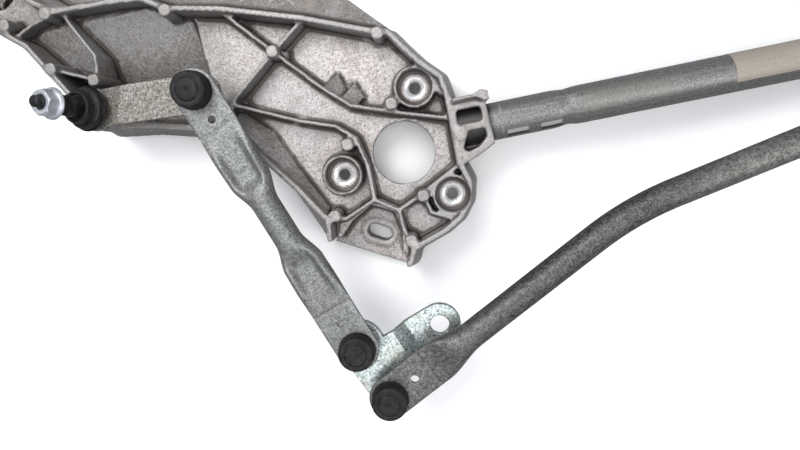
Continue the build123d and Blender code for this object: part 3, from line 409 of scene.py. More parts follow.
def place(obj, body, slot, replaced):
    """Let a piece ride on a body in the place of a CAD node."""
    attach(obj, body)
    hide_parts(replaced)


def settle(obj):
    """Turn an object's modifiers into mesh."""
    graph = bpy.context.evaluated_depsgraph_get()
    mesh = bpy.data.meshes.new_from_object(obj.evaluated_get(graph))
    obj.modifiers.clear()
    obj.data = mesh
    return mesh


def positions(mesh):
    """Where the vertices are, one row for each, in metres."""
    co = np.zeros(len(mesh.vertices) * 3)
    mesh.vertices.foreach_get("co", co)
    return co.reshape(-1, 3)


def neighbours(mesh):
    """The two vertices of each edge, and how many edges meet at each vertex."""
    ends = np.zeros(len(mesh.edges) * 2, dtype=np.int64)
    mesh.edges.foreach_get("vertices", ends)
    count = np.maximum(np.bincount(ends, minlength=len(mesh.vertices)), 1).astype(float)
    return ends.reshape(-1, 2), count


def neighbour_mean(co, ends, count):
    """Average of each vertex's neighbours."""
    total = np.empty_like(co)
    for axis in range(co.shape[1]):
        total[:, axis] = np.bincount(ends[:, 0], co[ends[:, 1], axis], len(co))
        total[:, axis] += np.bincount(ends[:, 1], co[ends[:, 0], axis], len(co))
    return total / count[:, None]


PULL = 0.5
PUSH = -0.52
SPREAD = 0.9


def relax(co, ends, count, rounds):
    """Taubin smoothing: rounds edges off and keeps the volume."""
    for _ in range(rounds):
        co = co + PULL * (neighbour_mean(co, ends, count) - co)
        co = co + PUSH * (neighbour_mean(co, ends, count) - co)
    return co


def add_mark(mesh, name, value):
    """Store one number for each vertex, for the shader to read."""
    layer = mesh.attributes.new(name, "FLOAT", "POINT")
    layer.data.foreach_set("value", value.astype(np.float32))


WALL_STEP = 0.7 * MM       # a ray starts this far off its own wall
WALL_REACH = 90 * MM       # and looks this far for another one
WALL_LEAN = 0.3            # level part of the normal, above which a face counts as a wall
WALL_BLUR = 4


def shut_in(mesh, ends, count):
    """1 on walls that face another wall nearby, 0 on open outer walls."""
    co = positions(mesh)
    tree = BVHTree.FromPolygons(co.tolist(), [tuple(face.vertices) for face in mesh.polygons])
    found = np.zeros(len(co))
    for vert in mesh.vertices:
        level = Vector((vert.normal.x, vert.normal.y, 0))
        if level.length > WALL_LEAN:
            level.normalize()
            hit = tree.ray_cast(vert.co + level * WALL_STEP, level, WALL_REACH)
            found[vert.index] = hit[0] is not None
    for _ in range(WALL_BLUR):
        found = neighbour_mean(found[:, None], ends, count)[:, 0]
    return found


DEEPEST = 2.0              # marks are kept from 0 to this many mm


def wear_marks(mesh, reach, walled=False):
    """Marks for the shader: cavity in corners, edge on outer edges, painted shade on walls.

    Painted wall shade is strongest where a wall faces -Y. With walled, open outer walls have none.
    """
    co = positions(mesh)
    ends, count = neighbours(mesh)
    normals = np.zeros(len(co) * 3)
    mesh.vertices.foreach_get("normal", normals)
    normals = normals.reshape(-1, 3)
    wide = co
    for _ in range(reach):
        wide = wide + SPREAD * (neighbour_mean(wide, ends, count) - wide)
    lift = np.einsum("ij,ij->i", wide - co, normals) / MM
    # Painted shade on walls: strongest where they face -Y, a little more where they face -X.
    shade_side = np.clip(0.75 - 0.35 * normals[:, 1] - 0.10 * normals[:, 0], 0.4, 1)
    wall_shade = (1 - np.abs(normals[:, 2])) * shade_side
    if walled:
        wall_shade = wall_shade * shut_in(mesh, ends, count)
    add_mark(mesh, "cavity", np.clip(lift, 0, DEEPEST))
    add_mark(mesh, "edge", np.clip(-lift, 0, DEEPEST))
    add_mark(mesh, "wall_shade", wall_shade)


SOFTEN_ROUNDS = 3


def softened(name, node, key, voxel, reach, extra=None, shelf=None, limit=None):
    """Copy of a CAD node with its edges and corners rounded, and any added details fused in.

    Limit is the most triangles that the copy may have, and shelf says where its shelf is.
    """
    bm = bmesh.new()
    bm.from_mesh(NODES[node].data)
    if extra is not None:
        extra(bm)
    mesh = bpy.data.meshes.new(name)
    bm.to_mesh(mesh)
    bm.free()
    obj = new_object(name, mesh, key)
    remesh = obj.modifiers.new("remesh", "REMESH")
    remesh.mode = "VOXEL"
    remesh.voxel_size = voxel * MM
    mesh = settle(obj)
    co = relax(positions(mesh), *neighbours(mesh), SOFTEN_ROUNDS)
    low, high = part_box(node)
    co = np.clip(co, np.array(low), np.array(high))
    mesh.vertices.foreach_set("co", co.ravel())
    mesh.update()
    if limit and len(mesh.polygons) * 2 > limit:
        thin = obj.modifiers.new("thin", "DECIMATE")
        thin.ratio = limit / (len(mesh.polygons) * 2)
        mesh = settle(obj)
    wear_marks(mesh, reach, walled=key.startswith("cast"))
    if shelf is not None:
        add_mark(mesh, "shelf", shelf(positions(mesh) / MM))
    mesh.shade_smooth()
    paint(obj, key)
    return obj


def frame_round(axis):
    """Two directions square to an axis."""
    side = Vector((1, 0, 0)) - axis * axis.x
    side.normalize()
    return side, axis.cross(side)


CORNER_SHARE = 0.45        # a rounded corner takes at most this much of each side
CORNER_STEPS = 4


def rounded_profile(points, radius):
    """Round the corners of a (height, radius) outline; the two ends stay."""
    made = [Vector(points[0])]
    for before, corner, after in zip(points, points[1:], points[2:]):
        corner = Vector(corner)
        back = Vector(before) - corner
        on = Vector(after) - corner
        cut = min(radius, back.length * CORNER_SHARE, on.length * CORNER_SHARE)
        start = corner + back.normalized() * cut
        end = corner + on.normalized() * cut
        for i in range(CORNER_STEPS + 1):
            t = i / CORNER_STEPS
            made.append(start * (1 - t) ** 2 + corner * (2 * t * (1 - t)) + end * t ** 2)
    made.append(Vector(points[-1]))
    return made


SHARP_TURNED = math.radians(50)


def turned(name, centre, axis, points, key, radius, segments=96, ripple=None):
    """Turned piece from a (height, radius) outline in mm. It starts and ends on the axis or closes."""
    side, other = frame_round(axis)
    outline = rounded_profile(points, radius)
    on_axis = 1e-6
    closed = points[0] == points[-1]
    if closed:
        outline = outline[:-1]
    bm = bmesh.new()
    rings = []
    for height, r in outline:
        if r < on_axis:
            rings.append([bm.verts.new((centre + axis * height) * MM)])
            continue
        ring = []
        for i in range(segments):
            angle = 2 * math.pi * i / segments
            reach = ripple(height, r, angle) if ripple else r
            spot = centre + axis * height + (side * math.cos(angle) + other * math.sin(angle)) * reach
            ring.append(bm.verts.new(spot * MM))
        rings.append(ring)
    pairs = list(zip(rings, rings[1:]))
    if closed:
        pairs.append((rings[-1], rings[0]))
    for low, high in pairs:
        for i in range(segments):
            k = (i + 1) % segments
            corners = [low[i % len(low)], low[k % len(low)], high[k % len(high)], high[i % len(high)]]
            face = list(dict.fromkeys(corners))
            if len(face) > 2:
                bm.faces.new(face)
    bmesh.ops.recalc_face_normals(bm, faces=bm.faces)
    mesh = bpy.data.meshes.new(name)
    bm.to_mesh(mesh)
    bm.free()
    obj = new_object(name, mesh, key)
    mesh.set_sharp_from_angle(angle=SHARP_TURNED)
    return obj


def smoothstep(value, low, high):
    """0 below low, 1 above high, smooth between."""
    t = np.clip((value - low) / (high - low), 0, 1)
    return t * t * (3 - 2 * t)


# ---------------------------------------------------------------- castings
def add_block(bm, corners, low, high):
    """Closed prism over plan corners, its top at a height for each corner."""
    bottom = [bm.verts.new((x * MM, y * MM, low * MM)) for x, y in corners]
    top = [bm.verts.new((x * MM, y * MM, h * MM)) for (x, y), h in zip(corners, high)]
    bm.faces.new(bottom[::-1])
    bm.faces.new(top)
    for i in range(len(corners)):
        k = (i + 1) % len(corners)
        bm.faces.new((bottom[i], bottom[k], top[k], top[i]))


RIM_PADS = [(-190, 120), (-216, 119), (-195, 89), (-119, 107), (-1, 69)]
PAD_R = 3.7
PAD_SIDES = 24
PAD_FOOT = 10
PAD_TOP = 22.2
RIB_TOP = 16.5
WEB_TOP = 4
CAST_BLOCKS = [                  # plan corners, foot, and the top at each corner
    ([(-38, 46.5), (-30, 54), (-26.5, 43), (-31, 37.5)], 3, [RIB_TOP, 6, 6, RIB_TOP]),        # tooth
    ([(-30, 37.5), (-21, 47), (-17, 37), (-23, 32)], 3, [RIB_TOP, 6, 6, RIB_TOP]),            # tooth
    ([(-63, 72), (-56, 72), (-57, 65)], 3, [RIB_TOP, 9, 9]),                                  # gusset
    ([(-95, 48), (-88, 53), (-87, 45)], 3, [RIB_TOP, 5, 5]),                                  # gusset
    ([(25, 41), (29, 40.5), (32, 33), (32, 28), (27.5, 28.5), (25, 33)], 3, [16.8] * 6),      # fill
]
SLOPE_WALL = [(-96, 36), (-80, 10), (-67, -7), (-54, -28)]
SLOPE_FOOT = [(-93, 46), (-75, 27), (-64, 2), (-51, -24)]
SLOPE_TOP = 18
SLOPE_BASE = 2
RAMP = [(-106.5, 76), (-92, 70), (-90, 58), (-99, 52), (-106.5, 56)]
RAMP_BASE = -11
RAMP_TOPS = [-7, WEB_TOP, WEB_TOP, WEB_TOP, RAMP_BASE]


def main_details(bm):
    """Cast details too soft for the CAD: pads on the rim, teeth, gussets and sloped walls."""
    for x, y in RIM_PADS:
        disc = []
        for i in range(PAD_SIDES):
            turn = 2 * math.pi * i / PAD_SIDES
            disc.append((x + PAD_R * math.cos(turn), y + PAD_R * math.sin(turn)))
        add_block(bm, disc, PAD_FOOT, [PAD_TOP] * PAD_SIDES)
    for corners, foot, tops in CAST_BLOCKS:
        add_block(bm, corners, foot, tops)
    for i in range(len(SLOPE_WALL) - 1):
        corners = [SLOPE_WALL[i], SLOPE_WALL[i + 1], SLOPE_FOOT[i + 1], SLOPE_FOOT[i]]
        add_block(bm, corners, SLOPE_BASE, [SLOPE_TOP, SLOPE_TOP, WEB_TOP, WEB_TOP])
    add_block(bm, RAMP, RAMP_BASE, RAMP_TOPS)


# Plan corners of the rim's far side; the shelf lies beyond it and below the limit.
FAR_RIM_X = [-238, -208, -195, -184, -148, -131, -119, -88, -42, -5, 6]
FAR_RIM_Y = [142, 143, 129, 122, 120, 118, 110, 103, 88, 73, 70]
SHELF_LIMIT = 13.0


def beyond_rim(co):
    """1 on the shelf outside the far rim, 0 elsewhere."""
    past = co[:, 1] - np.interp(co[:, 0], FAR_RIM_X, FAR_RIM_Y)
    return smoothstep(past, 0.0, 2.0) * (co[:, 2] < SHELF_LIMIT)


main_casting = softened(
    "main_casting", "main_bracket", "cast_aluminium", voxel=1.0, reach=10,
    extra=main_details, shelf=beyond_rim, limit=190000,
)
place(main_casting, "frame", "cast_aluminium", "main_bracket")
right_casting = softened(
    "right_casting", "right_bracket", "cast_plain", voxel=0.9, reach=10, limit=120000
)
place(right_casting, "frame", "cast_aluminium", "right_bracket")

# ---------------------------------------------------------------- pressed plates
for side in ("left", "right"):
    strap = softened(f"{side}_lever_strap", f"{side}_lever", "lever_steel", voxel=0.5, reach=6)
    place(strap, f"{side}_spindle_group", "galvanised_steel", f"{side}_lever")
crank_arm = softened("crank_arm", "crank_plate", "blue_zinc", voxel=0.5, reach=6)
place(crank_arm, "crank", "blue_zinc", "crank_plate")


# ---------------------------------------------------------------- pressed links
EYE_R = 12.5
TUBE_R = 8.0
SHEET = 1.5
BEND_R = 170.0
END_ZONE = 78.0            # both crushed ends are shaped over this length
END_STEP = 0.8
EYE_ANGLES = range(4, 90, 6)   # degrees round the free half of an eye
TIP_SQUARE = 0.02          # keeps some width, squared, in the ring at the tip
HOLE_SIDES = 48
MIDDLE_STEP = 4.0
CREASE_DEEP = 0.55         # the crease runs across where the flat end starts to rise
CREASE_WIDE = 0.9
CREASE_SPAN = 0.97         # it stops short of the edges
DENT_SIDES = (0.42, 0.80)  # a dent is full depth inside the first and gone beyond the second
DENT_FLOOR = 1.1 * SHEET   # its bottom is this far above the mid-plane
DENT_RUN = (20, 2)         # it gets shallow from this far before the neck to this far past it
LINK_STEPS = 26            # points across the top of a section, and as many below
LINK_REACH = 3
SHARP_LINK = math.radians(42)


def straight(start, end):
    """Path of a straight link: its length, and the point and direction at a distance."""
    run = end - start
    along = run.normalized()
    return run.length, lambda s: (start + along * s, along)


def kinked(start, corner, end, radius):
    """Path with one rounded kink, level all the way."""
    first = (corner - start).normalized()
    second = (end - corner).normalized()
    turn = first.angle(second)
    cut = radius * math.tan(turn / 2)
    before = (corner - start).length - cut
    arc = radius * turn
    hand = 1.0 if first.cross(second).z > 0 else -1.0
    total = before + arc + (end - corner).length - cut
    centre = start + first * before + Vector((0, 0, hand)).cross(first) * radius

    def at(s):
        if s < before:
            return start + first * s, first
        if s > before + arc:
            return corner + second * (s - before - arc + cut), second
        spin = Matrix.Rotation(hand * (s - before) / radius, 3, "Z")
        return centre + spin @ (start + first * before - centre), spin @ first

    return total, at


def blend_in(value, low, high):
    """Smooth step of one number."""
    return float(smoothstep(np.float64(value), low, high))


def link_section(reach, end):
    """Section this far from a ball: half width, top and under height across it, and crease.

    Heights are from the mid-plane, and u is the share of the half width.
    """
    wide = EYE_R
    if reach < 0:
        wide = math.sqrt(max(EYE_R ** 2 - reach ** 2, TIP_SQUARE))
    to_round = blend_in(reach, end["wide"], end["neck"])
    wide = wide + (TUBE_R - wide) * to_round
    rise = blend_in(reach, end["flat"] - 1, end["rise"])
    crease = CREASE_DEEP * math.exp(-((reach - end["flat"] + 1.0) / CREASE_WIDE) ** 2)

    def outside(u):
        power = 6 - 4 * rise
        return (SHEET + (TUBE_R - SHEET) * rise) * max(1 - u ** power, 0.0) ** (1 / power)

    def rounded(shell, u):
        return shell + (TUBE_R * math.sqrt(max(1 - u * u, 0.0)) - shell) * to_round

    def top(u):
        shell = outside(u)
        if end["form"] == "dent":
            open_up = blend_in(reach, end["neck"] - DENT_RUN[0], end["neck"] + DENT_RUN[1])
            dent_z = DENT_FLOOR + (TUBE_R - SHEET) * open_up
            shell -= max(shell - dent_z, 0.0) * (1 - blend_in(u, *DENT_SIDES))
        return rounded(shell, u)

    def under(u):
        return rounded(outside(u), u)

    return wide, top, under, crease


def pressed_link(name, path, ends, holes, key):
    """Tube with both ends crushed flat into eyes, lofted along its path.

    A hole is: at the far end or not, distance from its ball, radius, foot and top.
    """
    length, at = path
    steps = LINK_STEPS
    stations = [-EYE_R * math.cos(math.radians(a)) for a in EYE_ANGLES]
    stations += [END_STEP * i for i in range(int(END_ZONE / END_STEP))]
    far = [length - s for s in reversed(stations)]
    middle = list(np.arange(END_ZONE, length - END_ZONE, MIDDLE_STEP))
    bm = bmesh.new()
    rings = []
    for s in stations + middle + far:
        near = s < length / 2
        reach = s if near else length - s
        wide, top, under, crease = link_section(reach, ends[0] if near else ends[1])
        point, along = at(s)
        level = Vector((0, 0, 1)).cross(along).normalized()
        ring = []
        for i in range(2 * steps):
            across = math.cos(math.pi * i / steps)
            u = abs(across)
            if i in (0, steps):
                height = 0.0
            elif i < steps:
                height = top(u) - crease * (u < CREASE_SPAN)
            else:
                height = -under(u)
            spot = point + level * (across * wide) + Vector((0, 0, height))
            ring.append(bm.verts.new(spot * MM))
        rings.append(ring)
    for low, high in zip(rings, rings[1:]):
        for i in range(2 * steps):
            k = (i + 1) % (2 * steps)
            bm.faces.new((low[i], low[k], high[k], high[i]))
    bm.faces.new(rings[0][::-1])
    bm.faces.new(rings[-1])
    bmesh.ops.recalc_face_normals(bm, faces=bm.faces)
    mesh = bpy.data.meshes.new(name)
    bm.to_mesh(mesh)
    bm.free()
    link = new_object(name, mesh, key)
    cutter_bm = bmesh.new()
    for far_end, s, radius, low, high in holes:
        point, _ = at(length - s if far_end else s)
        middle_z = (low + high) / 2
        bmesh.ops.create_cone(
            cutter_bm, cap_ends=True, segments=HOLE_SIDES,
            radius1=radius * MM, radius2=radius * MM, depth=(high - low) * MM,
            matrix=Matrix.Translation((point + Vector((0, 0, middle_z))) * MM),
        )
    cutter_mesh = bpy.data.meshes.new(name + "_holes")
    cutter_bm.to_mesh(cutter_mesh)
    cutter_bm.free()
    cutter = bpy.data.objects.new(name + "_holes", cutter_mesh)
    bpy.context.scene.collection.objects.link(cutter)
    cut = link.modifiers.new("holes", "BOOLEAN")
    cut.operation = "DIFFERENCE"
    cut.solver = "EXACT"
    cut.object = cutter
    settle(link)
    bpy.data.objects.remove(cutter)
    paint(link, key)
    # Marks for the painted highlight on edges and painted shade in hollows.
    wear_marks(link.data, LINK_REACH)
    link.data.shade_smooth()
    link.data.set_sharp_from_angle(angle=SHARP_LINK)
    return link


# Distances from the ball: where the end stops being flat, where it has risen to full height,
# where it starts to narrow, and where it has become a round tube.
DENT_END = {"form": "dent", "flat": 26.0, "rise": 56.0, "wide": 56.0, "neck": 74.0}
DENT_LOW = {"form": "dent", "flat": 29.0, "rise": 58.0, "wide": 58.0, "neck": 76.0}
PLAIN_END = {"form": "plain", "flat": 30.0, "rise": 58.0, "wide": 34.0, "neck": 62.0}
EYE_HOLE = 9.05
PIN_AT = 18.5
PIN_R = 2.4
EYES = [(0, 0, EYE_HOLE, -4, 4), (1, 0, EYE_HOLE, -4, 4)]
NEAR_PIN = (0, PIN_AT, PIN_R, -4, 4)
FAR_PIN = (1, PIN_AT, PIN_R, -4, 4)
FAR_PIN_BLIND = (1, PIN_AT, PIN_R, 0.2, 4)
left_tube = pressed_link(
    "left_link_pressing", straight(BALL_A, BALL_B), (DENT_END, DENT_LOW),
    EYES + [NEAR_PIN, FAR_PIN_BLIND], "galvanised_steel",
)
place(left_tube, "left_coupler", "galvanised_steel", "left_link")
right_tube = pressed_link(
    "right_link_pressing", kinked(BALL_C, LINK_KINK, BALL_D, BEND_R), (PLAIN_END, PLAIN_END),
    EYES + [NEAR_PIN, FAR_PIN], "galvanised_dark",
)
place(right_tube, "right_coupler", "galvanised_steel", "right_link")

# ---------------------------------------------------------------- frame tube
TUBE_OUT = 11.0
TUBE_IN = 9.5
CRIMP_X = 98.0
CRIMP_WIDE = 4.2
CRIMP_DEEP = 0.55
CRIMP_WAVE = 0.30                # the crimp has three lobes, and is deeper on the -Y side
CRIMP_FRONT = 0.6
TAB_SPOTS = (68.5, 88.0)
TAB_TURN = 50.0                  # degrees from the tube's top, towards -Y
TAB_HALF = 6.2
TAB_RISE = (-16.0, 12.0)         # degrees each side of the tab's middle
TAB_DEEP = 1.25
TAB_EDGE = 0.4                   # its ends fade over this length
TAB_HIGHLIGHT = (-7.0, -5.0)          # painted highlight from here up, in degrees
TAB_SHADE = (-8.0, 2.0)          # and painted shade below this, fading over this much
JOINT_DIRT = 55.0                # the tube is dark and oily up to here, where it enters the casting
FINE_SPAN = (60, 112)            # the tabs and the crimp need close rings
RING_STEPS = (1.5, 0.5, 4.0)     # ring spacing before, in and after that span
TUBE_SIDES = 180
SHARP_TUBE = math.radians(60)


def tube_point(x, r, turn):
    """Point round the tube's own axis, in metres; a turn starts at the top."""
    return Vector((x, TUBE_Y + r * math.sin(turn), TUBE_Z + r * math.cos(turn))) * MM


def tube_mesh():
    """Frame tube: two lanced tabs on its upper front, an uneven crimped neck, open ends."""
    low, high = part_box("frame_tube")
    start, end = low.x / MM, high.x / MM
    spots = list(np.arange(start, FINE_SPAN[0], RING_STEPS[0]))
    spots += list(np.arange(*FINE_SPAN, RING_STEPS[1]))
    spots += list(np.arange(FINE_SPAN[1], end, RING_STEPS[2])) + [end]
    count = TUBE_SIDES
    turns = [2 * math.pi * i / count for i in range(count)]
    bm = bmesh.new()
    # Layers for the tabs' painted highlight, and for joint oil with the tabs' painted shade.
    lip_highlight_layer = bm.verts.layers.float.new("edge")
    tab_shade_oil_layer = bm.verts.layers.float.new("cavity")
    rings = []
    for x in spots:
        ring = []
        neck = math.exp(-((x - CRIMP_X) / CRIMP_WIDE) ** 2)
        for turn in turns:
            front = max(-math.sin(turn), 0.0)
            wave = CRIMP_WAVE * math.cos(3 * turn + 0.6)
            r = TUBE_OUT - neck * (CRIMP_DEEP + wave + CRIMP_FRONT * front)
            mark = 0.0
            oil_and_tab_shade = blend_in(JOINT_DIRT - x, 0.0, 1.5)
            offset = math.degrees(turn) - (360 - TAB_TURN)
            for spot in TAB_SPOTS:
                past_end = abs(x - spot) - TAB_HALF
                if past_end < TAB_EDGE and TAB_RISE[0] < offset < TAB_RISE[1]:
                    inside = blend_in(-past_end, -TAB_EDGE, 0.2)
                    inside *= blend_in(TAB_RISE[1] - offset, 0.0, 1.2)
                    r -= TAB_DEEP * inside * (0.30 + 0.70 * blend_in(offset, *TAB_RISE))
                    # The tab's upper lip gets a painted highlight and the pocket below it painted shade.
                    ends = blend_in(-past_end, -TAB_EDGE, 0.3)
                    mark = max(mark, ends * blend_in(offset, *TAB_HIGHLIGHT))
                    oil_and_tab_shade = max(oil_and_tab_shade, ends * blend_in(TAB_SHADE[0] - offset, 0.0, TAB_SHADE[1]))
            vert = bm.verts.new(tube_point(x, r, turn))
            vert[lip_highlight_layer] = mark
            vert[tab_shade_oil_layer] = oil_and_tab_shade
            ring.append(vert)
        rings.append(ring)
    for x in (end, start):
        rings.append([bm.verts.new(tube_point(x, TUBE_IN, turn)) for turn in turns])
    for a, b in zip(rings, rings[1:] + rings[:1]):
        for i in range(count):
            k = (i + 1) % count
            bm.faces.new((a[i], a[k], b[k], b[i]))
    bmesh.ops.recalc_face_normals(bm, faces=bm.faces)
    mesh = bpy.data.meshes.new("frame_tube_drawn")
    bm.to_mesh(mesh)
    bm.free()
    tube = new_object("frame_tube_drawn", mesh, "tube_steel")
    mesh.set_sharp_from_angle(angle=SHARP_TUBE)
    return tube


place(tube_mesh(), "frame", "tube_steel", "frame_tube")

# ---------------------------------------------------------------- turned and moulded parts
# An outline is a list of (height, radius) in mm, from a ball or from a hub.
UPRIGHT = Vector((0, 0, 1))
CAP_OUTLINE = [
    (1.5, 9.0), (1.5, 10.8), (3.0, 10.8), (3.5, 10.35), (8.4, 10.35), (10.2, 9.6), (10.8, 8.3),
    (10.45, 6.6), (11.45, 5.9), (11.6, 5.2), (11.6, 1.0), (11.1, 0.5), (11.1, 0.0), (7.6, 0.0),
    (7.6, 9.0), (1.5, 9.0),
]
BOOT_OUTLINE = [
    (-9.4, 7.6), (-9.4, 9.6), (-8.2, 9.9), (-7.2, 9.2), (-6.2, 9.9), (-5.2, 9.2), (-4.2, 9.9),
    (-3.1, 9.7), (-3.1, 7.9), (-5.2, 8.0), (-7.2, 8.0), (-9.4, 7.6),
]
LOW_BOOT_OUTLINE = [
    (-9.4, 7.6), (-9.4, 9.6), (-8.4, 9.9), (-7.4, 9.2), (-6.4, 9.8), (-5.5, 9.0), (-5.5, 7.4),
    (-7.4, 8.0), (-9.4, 7.6),
]
BALLS = {
    "a": (BALL_A, "left_coupler", "left_spindle_group"),
    "b": (BALL_B, "left_coupler", "crank"),
    "c": (BALL_C, "right_coupler", "crank"),
    "d": (BALL_D, "right_coupler", "right_spindle_group"),
}
for letter, (ball, coupler, lower) in BALLS.items():
    crown = turned(
        f"cap_{letter}_moulded", ball, UPRIGHT, CAP_OUTLINE, "black_rubber", radius=0.45
    )
    place(crown, coupler, "black_rubber", f"rubber_cap_{letter}")
    outline = LOW_BOOT_OUTLINE if letter == "d" else BOOT_OUTLINE
    gaiter = turned(
        f"boot_{letter}_bellows", ball, UPRIGHT, outline, "black_rubber", radius=0.35
    )
    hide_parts(f"rubber_boot_{letter}")
    if letter == "d":
        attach(gaiter, lower)
    else:
        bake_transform(gaiter)

# Heights on a spindle are from its hub, along its own axis.
SHAFT_R = 6.0
SPLINE_SPAN = (20.2, 28.8)
SPLINE_DEEP = 0.22
SPLINE_COUNT = 60
THREAD_R = 4.0
THREAD_PITCH = 1.25
THREAD_FOOT = 29.0
THREAD_TOP = 37.3
THREAD_DEEP = 0.35
THREAD_STEPS = 41
THREAD_STEP = 0.2


def spindle_ripple(height, r, angle):
    """Splines round the tapered seat and a helical thread above it."""
    if SPLINE_SPAN[0] < height < SPLINE_SPAN[1]:
        return r - SPLINE_DEEP * (0.5 + 0.5 * math.cos(SPLINE_COUNT * angle))
    if THREAD_FOOT < height < THREAD_TOP:
        climb = 2 * math.pi * height / THREAD_PITCH - angle
        return r - THREAD_DEEP * (0.5 + 0.5 * math.cos(climb))
    return r


def spindle_outline():
    """Foot with a ring groove, tapered seat, thread in small steps, and pilot point."""
    points = [(-37.0, 0.0), (-37.0, 5.4), (-36.4, SHAFT_R), (-35.4, SHAFT_R)]
    points += [(-35.4, 5.3), (-34.2, 5.3), (-34.2, SHAFT_R)]
    points += [(20.0, SHAFT_R), (20.3, 5.95), (28.7, 5.05), (THREAD_FOOT, THREAD_R)]
    points += [(THREAD_FOOT + THREAD_STEP * i, THREAD_R) for i in range(1, THREAD_STEPS + 1)]
    points += [(38.0, 3.2), (40.4, 3.2), (41.0, 2.5), (41.0, 0.6), (40.7, 0.0)]
    return points


HEX_HALF = 6.5
FLANGE_TOP = 31.05
NUT_BORE = 4.5


def nut_ripple(height, r, angle):
    """Hexagon above the flange; the flange and the bore stay round."""
    if height < FLANGE_TOP or r < NUT_BORE:
        return r
    sixth = math.pi / 3
    return min(r, HEX_HALF / math.cos((angle % sixth) - sixth / 2))


NUT_OUTLINE = [
    (29.0, 4.05), (29.0, 8.9), (29.7, 8.9), (30.6, 8.2), (31.0, 7.7), (31.1, 7.5), (36.1, 7.5),
    (37.0, 6.35), (37.0, 4.7), (36.6, 4.05), (29.0, 4.05),
]
SLEEVE_OUTLINE = [
    (2.8, 6.05), (2.8, 9.6), (4.9, 11.9), (6.2, 12.2), (6.6, 11.75), (7.0, 12.15), (9.0, 12.1),
    (9.9, 11.2), (9.95, 10.3), (9.6, 9.9), (9.9, 9.4), (11.4, 9.3), (11.7, 9.05), (12.0, 9.35),
    (14.4, 9.35), (14.95, 8.9), (14.95, 7.7), (13.6, 7.2), (13.6, 6.05), (2.8, 6.05),
]
CUP_OUTLINE = [
    (1.75, 6.05), (1.75, 8.0), (4.9, 12.6), (5.9, 13.2), (6.3, 12.9), (5.3, 12.0), (2.75, 8.4),
    (2.75, 6.05), (1.75, 6.05),
]
for side, hub in (("left", LEFT_HUB), ("right", RIGHT_HUB)):
    group = f"{side}_spindle_group"
    shaft = turned(
        f"{side}_spindle_turned", hub, AXIS, spindle_outline(), "black_steel",
        radius=0.12, segments=240, ripple=spindle_ripple,
    )
    place(shaft, group, "black_steel", f"{side}_spindle")
    nut = turned(
        f"{side}_flange_nut", hub, AXIS, NUT_OUTLINE, "bright_zinc",
        radius=0.18, segments=144, ripple=nut_ripple,
    )
    place(nut, group, "bright_zinc", f"{side}_nut")
    moulded = turned(
        f"{side}_sleeve_moulded", hub, AXIS, SLEEVE_OUTLINE, "black_plastic",
        radius=0.22, segments=120,
    )
    place(moulded, group, "black_plastic", f"{side}_sleeve")
    cup = turned(
        f"{side}_cup_pressed", hub, AXIS, CUP_OUTLINE, "black_steel", radius=0.25, segments=120
    )
    place(cup, group, "black_steel", f"{side}_cup_washer")


# ---------------------------------------------------------------- carried-over nodes
CARRIED = {
    "frame_label": "label_paper",
    "left_bush_lower": "sintered_bronze", "left_bush_upper": "sintered_bronze",
    "right_bush_lower": "sintered_bronze", "right_bush_upper": "sintered_bronze",
    "left_thrust_washers": "black_steel", "right_thrust_washers": "black_steel",
    "left_o_ring": "black_rubber", "right_o_ring": "black_rubber",
    "left_retaining_ring": "black_steel", "right_retaining_ring": "black_steel",
    "left_ball_stud": "ball_steel", "right_ball_stud": "ball_steel",
    "crank_stud_b": "ball_steel", "crank_stud_c": "ball_steel",
    "ball_socket_a": "liner_plastic", "ball_socket_b": "liner_plastic",
    "ball_socket_c": "liner_plastic", "ball_socket_d": "liner_plastic",
}
for name, key in CARRIED.items():
    paint(NODES[name], key)

# ---------------------------------------------------------------- floor, light, camera
FLOOR_HALF = 12.0
FLOOR_GAP = 0.0002
FLOOR_LIT = (0.30, 0.30, 0.31)
FLOOR_SEEN = (0.93, 0.93, 0.93)
floor_mesh = bpy.data.meshes.new("studio_floor")
floor_z = cad_box[0].z - FLOOR_GAP
quarters = [(-1, -1), (1, -1), (1, 1), (-1, 1)]
floor_corners = [(x * FLOOR_HALF, y * FLOOR_HALF, floor_z) for x, y in quarters]
floor_mesh.from_pydata(floor_corners, [], [(0, 1, 2, 3)])
floor = bpy.data.objects.new("studio_floor", floor_mesh)
bpy.context.scene.collection.objects.link(floor)
backdrop = Shader("studio_white")
# The floor is pale to look at, and darker for the light that it throws back.
ray = backdrop.tree.nodes.new("ShaderNodeLightPath")
tone = backdrop.mix(ray.outputs["Is Camera Ray"], FLOOR_LIT, FLOOR_SEEN)
floor_mesh.materials.append(backdrop.finish(Base_Color=tone, Roughness=0.9))
# Seen from below the floor is clear, so that views of the underside show the object.
from_below = backdrop.tree.nodes.new("ShaderNodeNewGeometry").outputs["Backfacing"]
clear = backdrop.tree.nodes.new("ShaderNodeBsdfTransparent")
choose = backdrop.tree.nodes.new("ShaderNodeMixShader")
backdrop.tree.links.new(from_below, choose.inputs[0])
backdrop.tree.links.new(backdrop.surface.outputs[0], choose.inputs[1])
backdrop.tree.links.new(clear.outputs[0], choose.inputs[2])
output = backdrop.tree.nodes["Material Output"]
backdrop.tree.links.new(choose.outputs[0], output.inputs["Surface"])

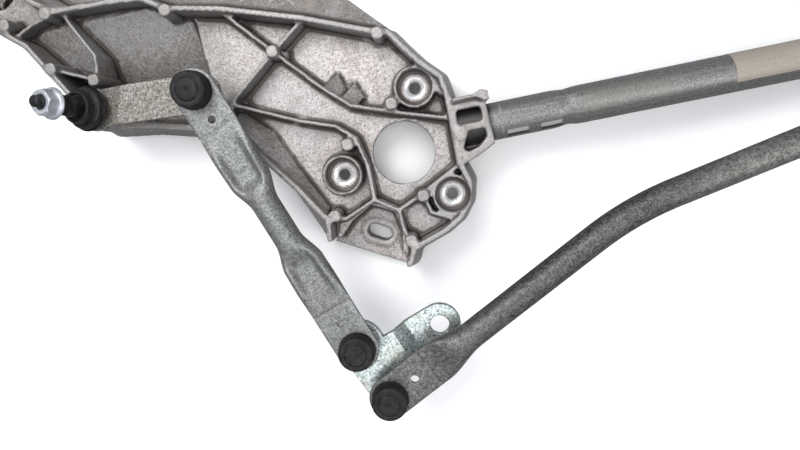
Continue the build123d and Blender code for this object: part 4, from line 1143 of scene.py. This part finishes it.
# The sky lights the scene from grey at the horizon to pale overhead, and looks white.
SKY_LOW = (0.12, 0.125, 0.14, 1.0)
SKY_HIGH = (0.93, 0.95, 1.0, 1.0)
SKY_SPAN = (0.05, 0.75)
SKY_STRENGTH = 0.75
world = bpy.data.worlds.new("studio_world")
world.use_nodes = True
sky_nodes = world.node_tree.nodes
sky_links = world.node_tree.links
sky = sky_nodes["Background"]
aim = sky_nodes.new("ShaderNodeTexCoord")
split = sky_nodes.new("ShaderNodeSeparateXYZ")
fade = sky_nodes.new("ShaderNodeValToRGB")
for stop, place_at, colour in zip(fade.color_ramp.elements, SKY_SPAN, (SKY_LOW, SKY_HIGH)):
    stop.position = place_at
    stop.color = colour
sky_links.new(aim.outputs["Generated"], split.inputs[0])
sky_links.new(split.outputs[2], fade.inputs[0])
seen = sky_nodes.new("ShaderNodeLightPath")
pale = sky_nodes.new("ShaderNodeMix")
pale.data_type = "RGBA"
sky_links.new(seen.outputs["Is Camera Ray"], pale.inputs["Factor"])
sky_links.new(fade.outputs[0], pale.inputs[6])
pale.inputs[7].default_value = (1.0, 1.0, 1.0, 1.0)
sky_links.new(pale.outputs[2], sky.inputs["Color"])
sky.inputs["Strength"].default_value = SKY_STRENGTH
bpy.context.scene.world = world


def softbox(name, spot, target, size, power):
    """White area lamp of a size in metres and a power in watts, aimed at a target."""
    light = bpy.data.lights.new(name, "AREA")
    light.shape = "RECTANGLE"
    light.size, light.size_y = size
    light.energy = power
    lamp = bpy.data.objects.new(name, light)
    lamp.location = spot
    lamp.rotation_euler = (Vector(target) - Vector(spot)).to_track_quat("-Z", "Y").to_euler()
    bpy.context.scene.collection.objects.link(lamp)


softbox("key_softbox", (-0.35, 0.75, 1.15), (0.05, 0.0, 0.0), (0.9, 0.7), 15)
softbox("fill_softbox", (1.1, -0.5, 1.0), (0.1, 0.0, 0.0), (0.8, 0.8), 6)
softbox("top_softbox", (0.1, -0.3, 1.5), (0.1, 0.0, 0.0), (1.6, 1.2), 10)

CAMERA_AT = Vector((19.4, -2.3, 358.8)) * MM
CAMERA_LOOK = Vector((-0.0852, -0.1142, -0.9898)).normalized()
CAMERA_UP = Vector((0.1865, 0.974, -0.1284))
camera_data = bpy.data.cameras.new("photo_camera")
camera_data.sensor_width = 36.0
camera_data.lens = 26.0
camera_data.clip_start = 0.01
camera = bpy.data.objects.new("photo_camera", camera_data)
bpy.context.scene.collection.objects.link(camera)
right = CAMERA_LOOK.cross(CAMERA_UP).normalized()
up = right.cross(CAMERA_LOOK).normalized()
facing = Matrix((right, up, -CAMERA_LOOK)).transposed()
camera.matrix_world = Matrix.Translation(CAMERA_AT) @ facing.to_4x4()
bpy.context.scene.camera = camera
bpy.context.scene.view_settings.view_transform = "Standard"
